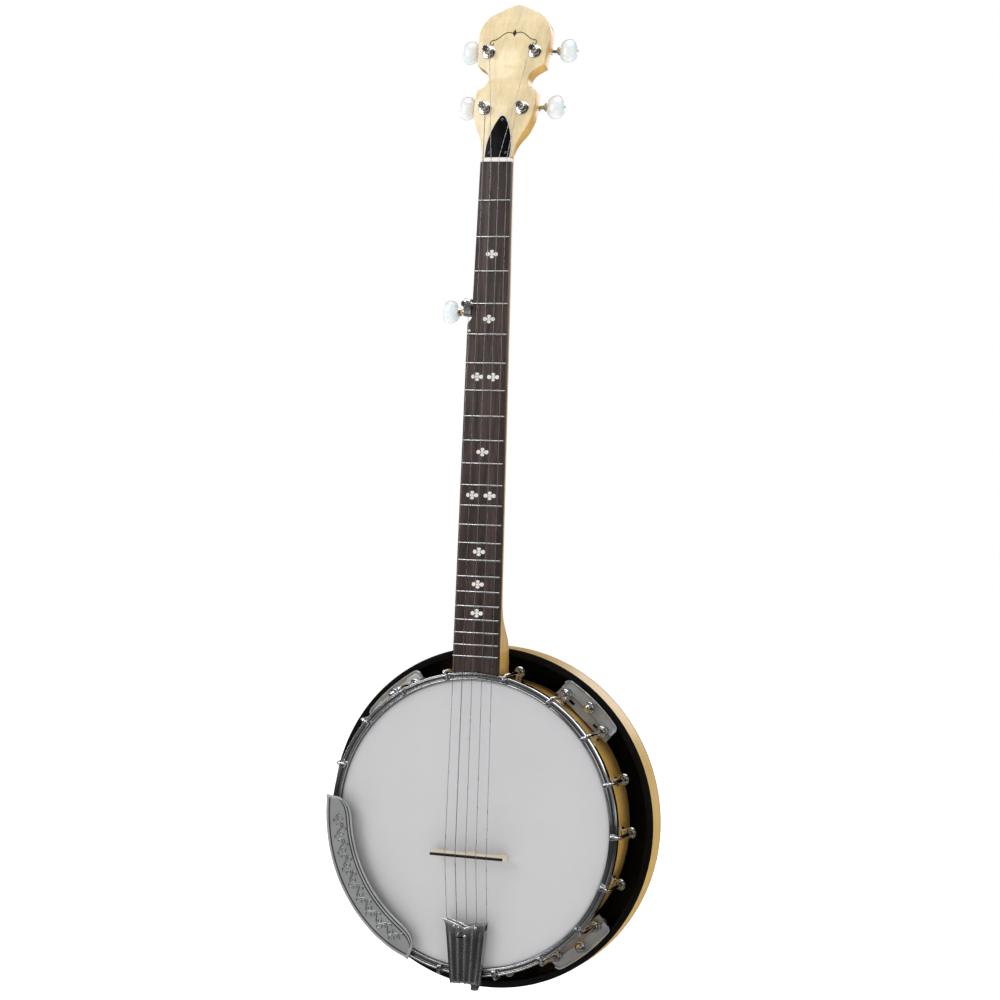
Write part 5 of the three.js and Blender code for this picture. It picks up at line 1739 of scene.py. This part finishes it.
def build_world():
    """White where the camera looks past the banjo, even where it lights it, and dark bands where it mirrors
    it."""
    world = bpy.context.scene.world or bpy.data.worlds.new("studio")
    bpy.context.scene.world = world
    world.use_nodes = True
    tree = world.node_tree
    tree.nodes.clear()
    out = tree.nodes.new("ShaderNodeOutputWorld")
    rays = tree.nodes.new("ShaderNodeLightPath")
    shades = []
    for strength in (1.0, 0.42, 1.0):
        shade = tree.nodes.new("ShaderNodeBackground")
        shade.inputs["Color"].default_value = (1, 1, 1, 1)
        shade.inputs["Strength"].default_value = strength
        shades.append(shade)
    seen, lighting, mirrored = shades
    coordinates = tree.nodes.new("ShaderNodeTexCoord")
    parts = tree.nodes.new("ShaderNodeSeparateXYZ")
    lift = tree.nodes.new("ShaderNodeMapRange")
    lift.inputs["From Min"].default_value = -1
    around = tree.nodes.new("ShaderNodeTexGradient")
    around.gradient_type = "RADIAL"
    both = tree.nodes.new("ShaderNodeMix")
    both.data_type = "RGBA"
    both.blend_type = "MULTIPLY"
    both.inputs["Factor"].default_value = 1.0
    tree.links.new(coordinates.outputs["Generated"], parts.inputs[0])
    tree.links.new(coordinates.outputs["Generated"], around.inputs[0])
    tree.links.new(parts.outputs["Z"], lift.inputs["Value"])
    tree.links.new(graded(tree, lift.outputs["Result"], MIRRORED_HEIGHTS), both.inputs[6])
    tree.links.new(graded(tree, around.outputs["Fac"], MIRRORED_SIDES), both.inputs[7])
    tree.links.new(both.outputs[2], mirrored.inputs["Color"])
    glossy = tree.nodes.new("ShaderNodeMixShader")
    tree.links.new(rays.outputs["Is Glossy Ray"], glossy.inputs["Fac"])
    tree.links.new(lighting.outputs[0], glossy.inputs[1])
    tree.links.new(mirrored.outputs[0], glossy.inputs[2])
    camera = tree.nodes.new("ShaderNodeMixShader")
    tree.links.new(rays.outputs["Is Camera Ray"], camera.inputs["Fac"])
    tree.links.new(glossy.outputs[0], camera.inputs[1])
    tree.links.new(seen.outputs[0], camera.inputs[2])
    tree.links.new(camera.outputs[0], out.inputs["Surface"])
    bpy.context.scene.view_settings.view_transform = "Standard"


# ---------------------------------------------------------------- operators
class BANJO_OT_stage(bpy.types.Operator):
    """Camera, floor, lights and surroundings"""

    bl_idname = "banjo.stage"
    bl_label = "Stage"
    bl_options = {"REGISTER", "UNDO"}

    def execute(self, context):
        build_stage()
        return {"FINISHED"}


class BANJO_OT_neck(bpy.types.Operator):
    """Maple neck, peghead and its veneer"""

    bl_idname = "banjo.neck"
    bl_label = "Neck"
    bl_options = {"REGISTER", "UNDO"}

    def execute(self, context):
        build_neck()
        return {"FINISHED"}


class BANJO_OT_fingerboard(bpy.types.Operator):
    """Board, frets, inlays and pip"""

    bl_idname = "banjo.fingerboard"
    bl_label = "Fingerboard"
    bl_options = {"REGISTER", "UNDO"}

    def execute(self, context):
        build_fingerboard()
        return {"FINISHED"}


class BANJO_OT_nut(bpy.types.Operator):
    """Bone nut with its slots"""

    bl_idname = "banjo.nut"
    bl_label = "Nut"
    bl_options = {"REGISTER", "UNDO"}

    def execute(self, context):
        build_nut()
        return {"FINISHED"}


class BANJO_OT_truss_cover(bpy.types.Operator):
    """Bell-shaped cover with three screws"""

    bl_idname = "banjo.truss_cover"
    bl_label = "Truss cover"
    bl_options = {"REGISTER", "UNDO"}

    def execute(self, context):
        build_truss_cover()
        return {"FINISHED"}


class BANJO_OT_tuners(bpy.types.Operator):
    """Five geared tuners with posts and buttons"""

    bl_idname = "banjo.tuners"
    bl_label = "Tuners"
    bl_options = {"REGISTER", "UNDO"}

    def execute(self, context):
        for string in PEG_STRINGS:
            build_tuner(string)
        build_fifth_tuner()
        return {"FINISHED"}


class BANJO_OT_skin(bpy.types.Operator):
    """Frosted skin and its flesh hoop"""

    bl_idname = "banjo.skin"
    bl_label = "Drum head"
    bl_options = {"REGISTER", "UNDO"}

    def execute(self, context):
        build_skin()
        return {"FINISHED"}


class BANJO_OT_hoop(bpy.types.Operator):
    """Grooved tension hoop"""

    bl_idname = "banjo.hoop"
    bl_label = "Tension hoop"
    bl_options = {"REGISTER", "UNDO"}

    def execute(self, context):
        build_hoop()
        return {"FINISHED"}


class BANJO_OT_hooks(bpy.types.Operator):
    """Eighteen bent hooks with nuts"""

    bl_idname = "banjo.hooks"
    bl_label = "Hooks"
    bl_options = {"REGISTER", "UNDO"}

    def execute(self, context):
        build_hooks()
        return {"FINISHED"}


class BANJO_OT_shoes(bpy.types.Operator):
    """Eighteen bracket shoes on the rim"""

    bl_idname = "banjo.shoes"
    bl_label = "Bracket shoes"
    bl_options = {"REGISTER", "UNDO"}

    def execute(self, context):
        build_shoes()
        return {"FINISHED"}


class BANJO_OT_rim(bpy.types.Operator):
    """Wooden rim and rolled tone ring"""

    bl_idname = "banjo.rim"
    bl_label = "Rim"
    bl_options = {"REGISTER", "UNDO"}

    def execute(self, context):
        build_rim()
        return {"FINISHED"}


class BANJO_OT_rod(bpy.types.Operator):
    """Steel rod with its nuts"""

    bl_idname = "banjo.rod"
    bl_label = "Coordinator rod"
    bl_options = {"REGISTER", "UNDO"}

    def execute(self, context):
        build_rod()
        return {"FINISHED"}


class BANJO_OT_resonator(bpy.types.Operator):
    """Side, back, bindings, lining and lugs"""

    bl_idname = "banjo.resonator"
    bl_label = "Resonator"
    bl_options = {"REGISTER", "UNDO"}

    def execute(self, context):
        build_resonator()
        return {"FINISHED"}


class BANJO_OT_flange_plates(bpy.types.Operator):
    """Four bent plates"""

    bl_idname = "banjo.flange_plates"
    bl_label = "Flange plates"
    bl_options = {"REGISTER", "UNDO"}

    def execute(self, context):
        build_flange_plates()
        return {"FINISHED"}


class BANJO_OT_thumb_screws(bpy.types.Operator):
    """Four knurled screws"""

    bl_idname = "banjo.thumb_screws"
    bl_label = "Thumb screws"
    bl_options = {"REGISTER", "UNDO"}

    def execute(self, context):
        build_thumb_screws()
        return {"FINISHED"}


class BANJO_OT_bridge(bpy.types.Operator):
    """Three-footed bridge with an ebony cap"""

    bl_idname = "banjo.bridge"
    bl_label = "Bridge"
    bl_options = {"REGISTER", "UNDO"}

    def execute(self, context):
        build_bridge()
        return {"FINISHED"}


class BANJO_OT_tailpiece_base(bpy.types.Operator):
    """Pan, lugs, strap and nut"""

    bl_idname = "banjo.tailpiece_base"
    bl_label = "Tailpiece base"
    bl_options = {"REGISTER", "UNDO"}

    def execute(self, context):
        build_tailpiece_base()
        return {"FINISHED"}


class BANJO_OT_tailpiece_cover(bpy.types.Operator):
    """Fluted lid"""

    bl_idname = "banjo.tailpiece_cover"
    bl_label = "Tailpiece cover"
    bl_options = {"REGISTER", "UNDO"}

    def execute(self, context):
        build_tailpiece_cover()
        return {"FINISHED"}


class BANJO_OT_armrest(bpy.types.Operator):
    """Brushed crescent with a vine and clamps"""

    bl_idname = "banjo.armrest"
    bl_label = "Armrest"
    bl_options = {"REGISTER", "UNDO"}

    def execute(self, context):
        build_armrest()
        return {"FINISHED"}


class BANJO_OT_strings(bpy.types.Operator):
    """Five strings with their loops"""

    bl_idname = "banjo.strings"
    bl_label = "Strings"
    bl_options = {"REGISTER", "UNDO"}

    def execute(self, context):
        build_strings()
        return {"FINISHED"}


OPERATORS = [
    BANJO_OT_stage,
    BANJO_OT_neck,
    BANJO_OT_fingerboard,
    BANJO_OT_nut,
    BANJO_OT_truss_cover,
    BANJO_OT_tuners,
    BANJO_OT_skin,
    BANJO_OT_hoop,
    BANJO_OT_hooks,
    BANJO_OT_shoes,
    BANJO_OT_rim,
    BANJO_OT_rod,
    BANJO_OT_resonator,
    BANJO_OT_flange_plates,
    BANJO_OT_thumb_screws,
    BANJO_OT_bridge,
    BANJO_OT_tailpiece_base,
    BANJO_OT_tailpiece_cover,
    BANJO_OT_armrest,
    BANJO_OT_strings,
]


class BANJO_PT_panel(bpy.types.Panel):
    """Lists the sizes, the colours and a button for each piece."""

    bl_label = "Banjo"
    bl_idname = "BANJO_PT_panel"
    bl_space_type = "VIEW_3D"
    bl_region_type = "UI"
    bl_category = "Banjo"

    def draw(self, context):
        for group in (context.scene.banjo_sizes, context.scene.banjo_colours):
            column = self.layout.column(align=True)
            for key in group.__annotations__:
                column.prop(group, key)
        for made in OPERATORS:
            self.layout.operator(made.bl_idname)


CLASSES = [BanjoSizes, BanjoColours, *OPERATORS, BANJO_PT_panel]


def register():
    for made in CLASSES:
        bpy.utils.register_class(made)
    bpy.types.Scene.banjo_sizes = PointerProperty(type=BanjoSizes)
    bpy.types.Scene.banjo_colours = PointerProperty(type=BanjoColours)


def unregister():
    del bpy.types.Scene.banjo_colours
    del bpy.types.Scene.banjo_sizes
    for made in reversed(CLASSES):
        bpy.utils.unregister_class(made)


def main():
    register()
    for made in OPERATORS:
        group, name = made.bl_idname.split(".")
        getattr(getattr(bpy.ops, group), name)()


if __name__ == "__main__":
    main()
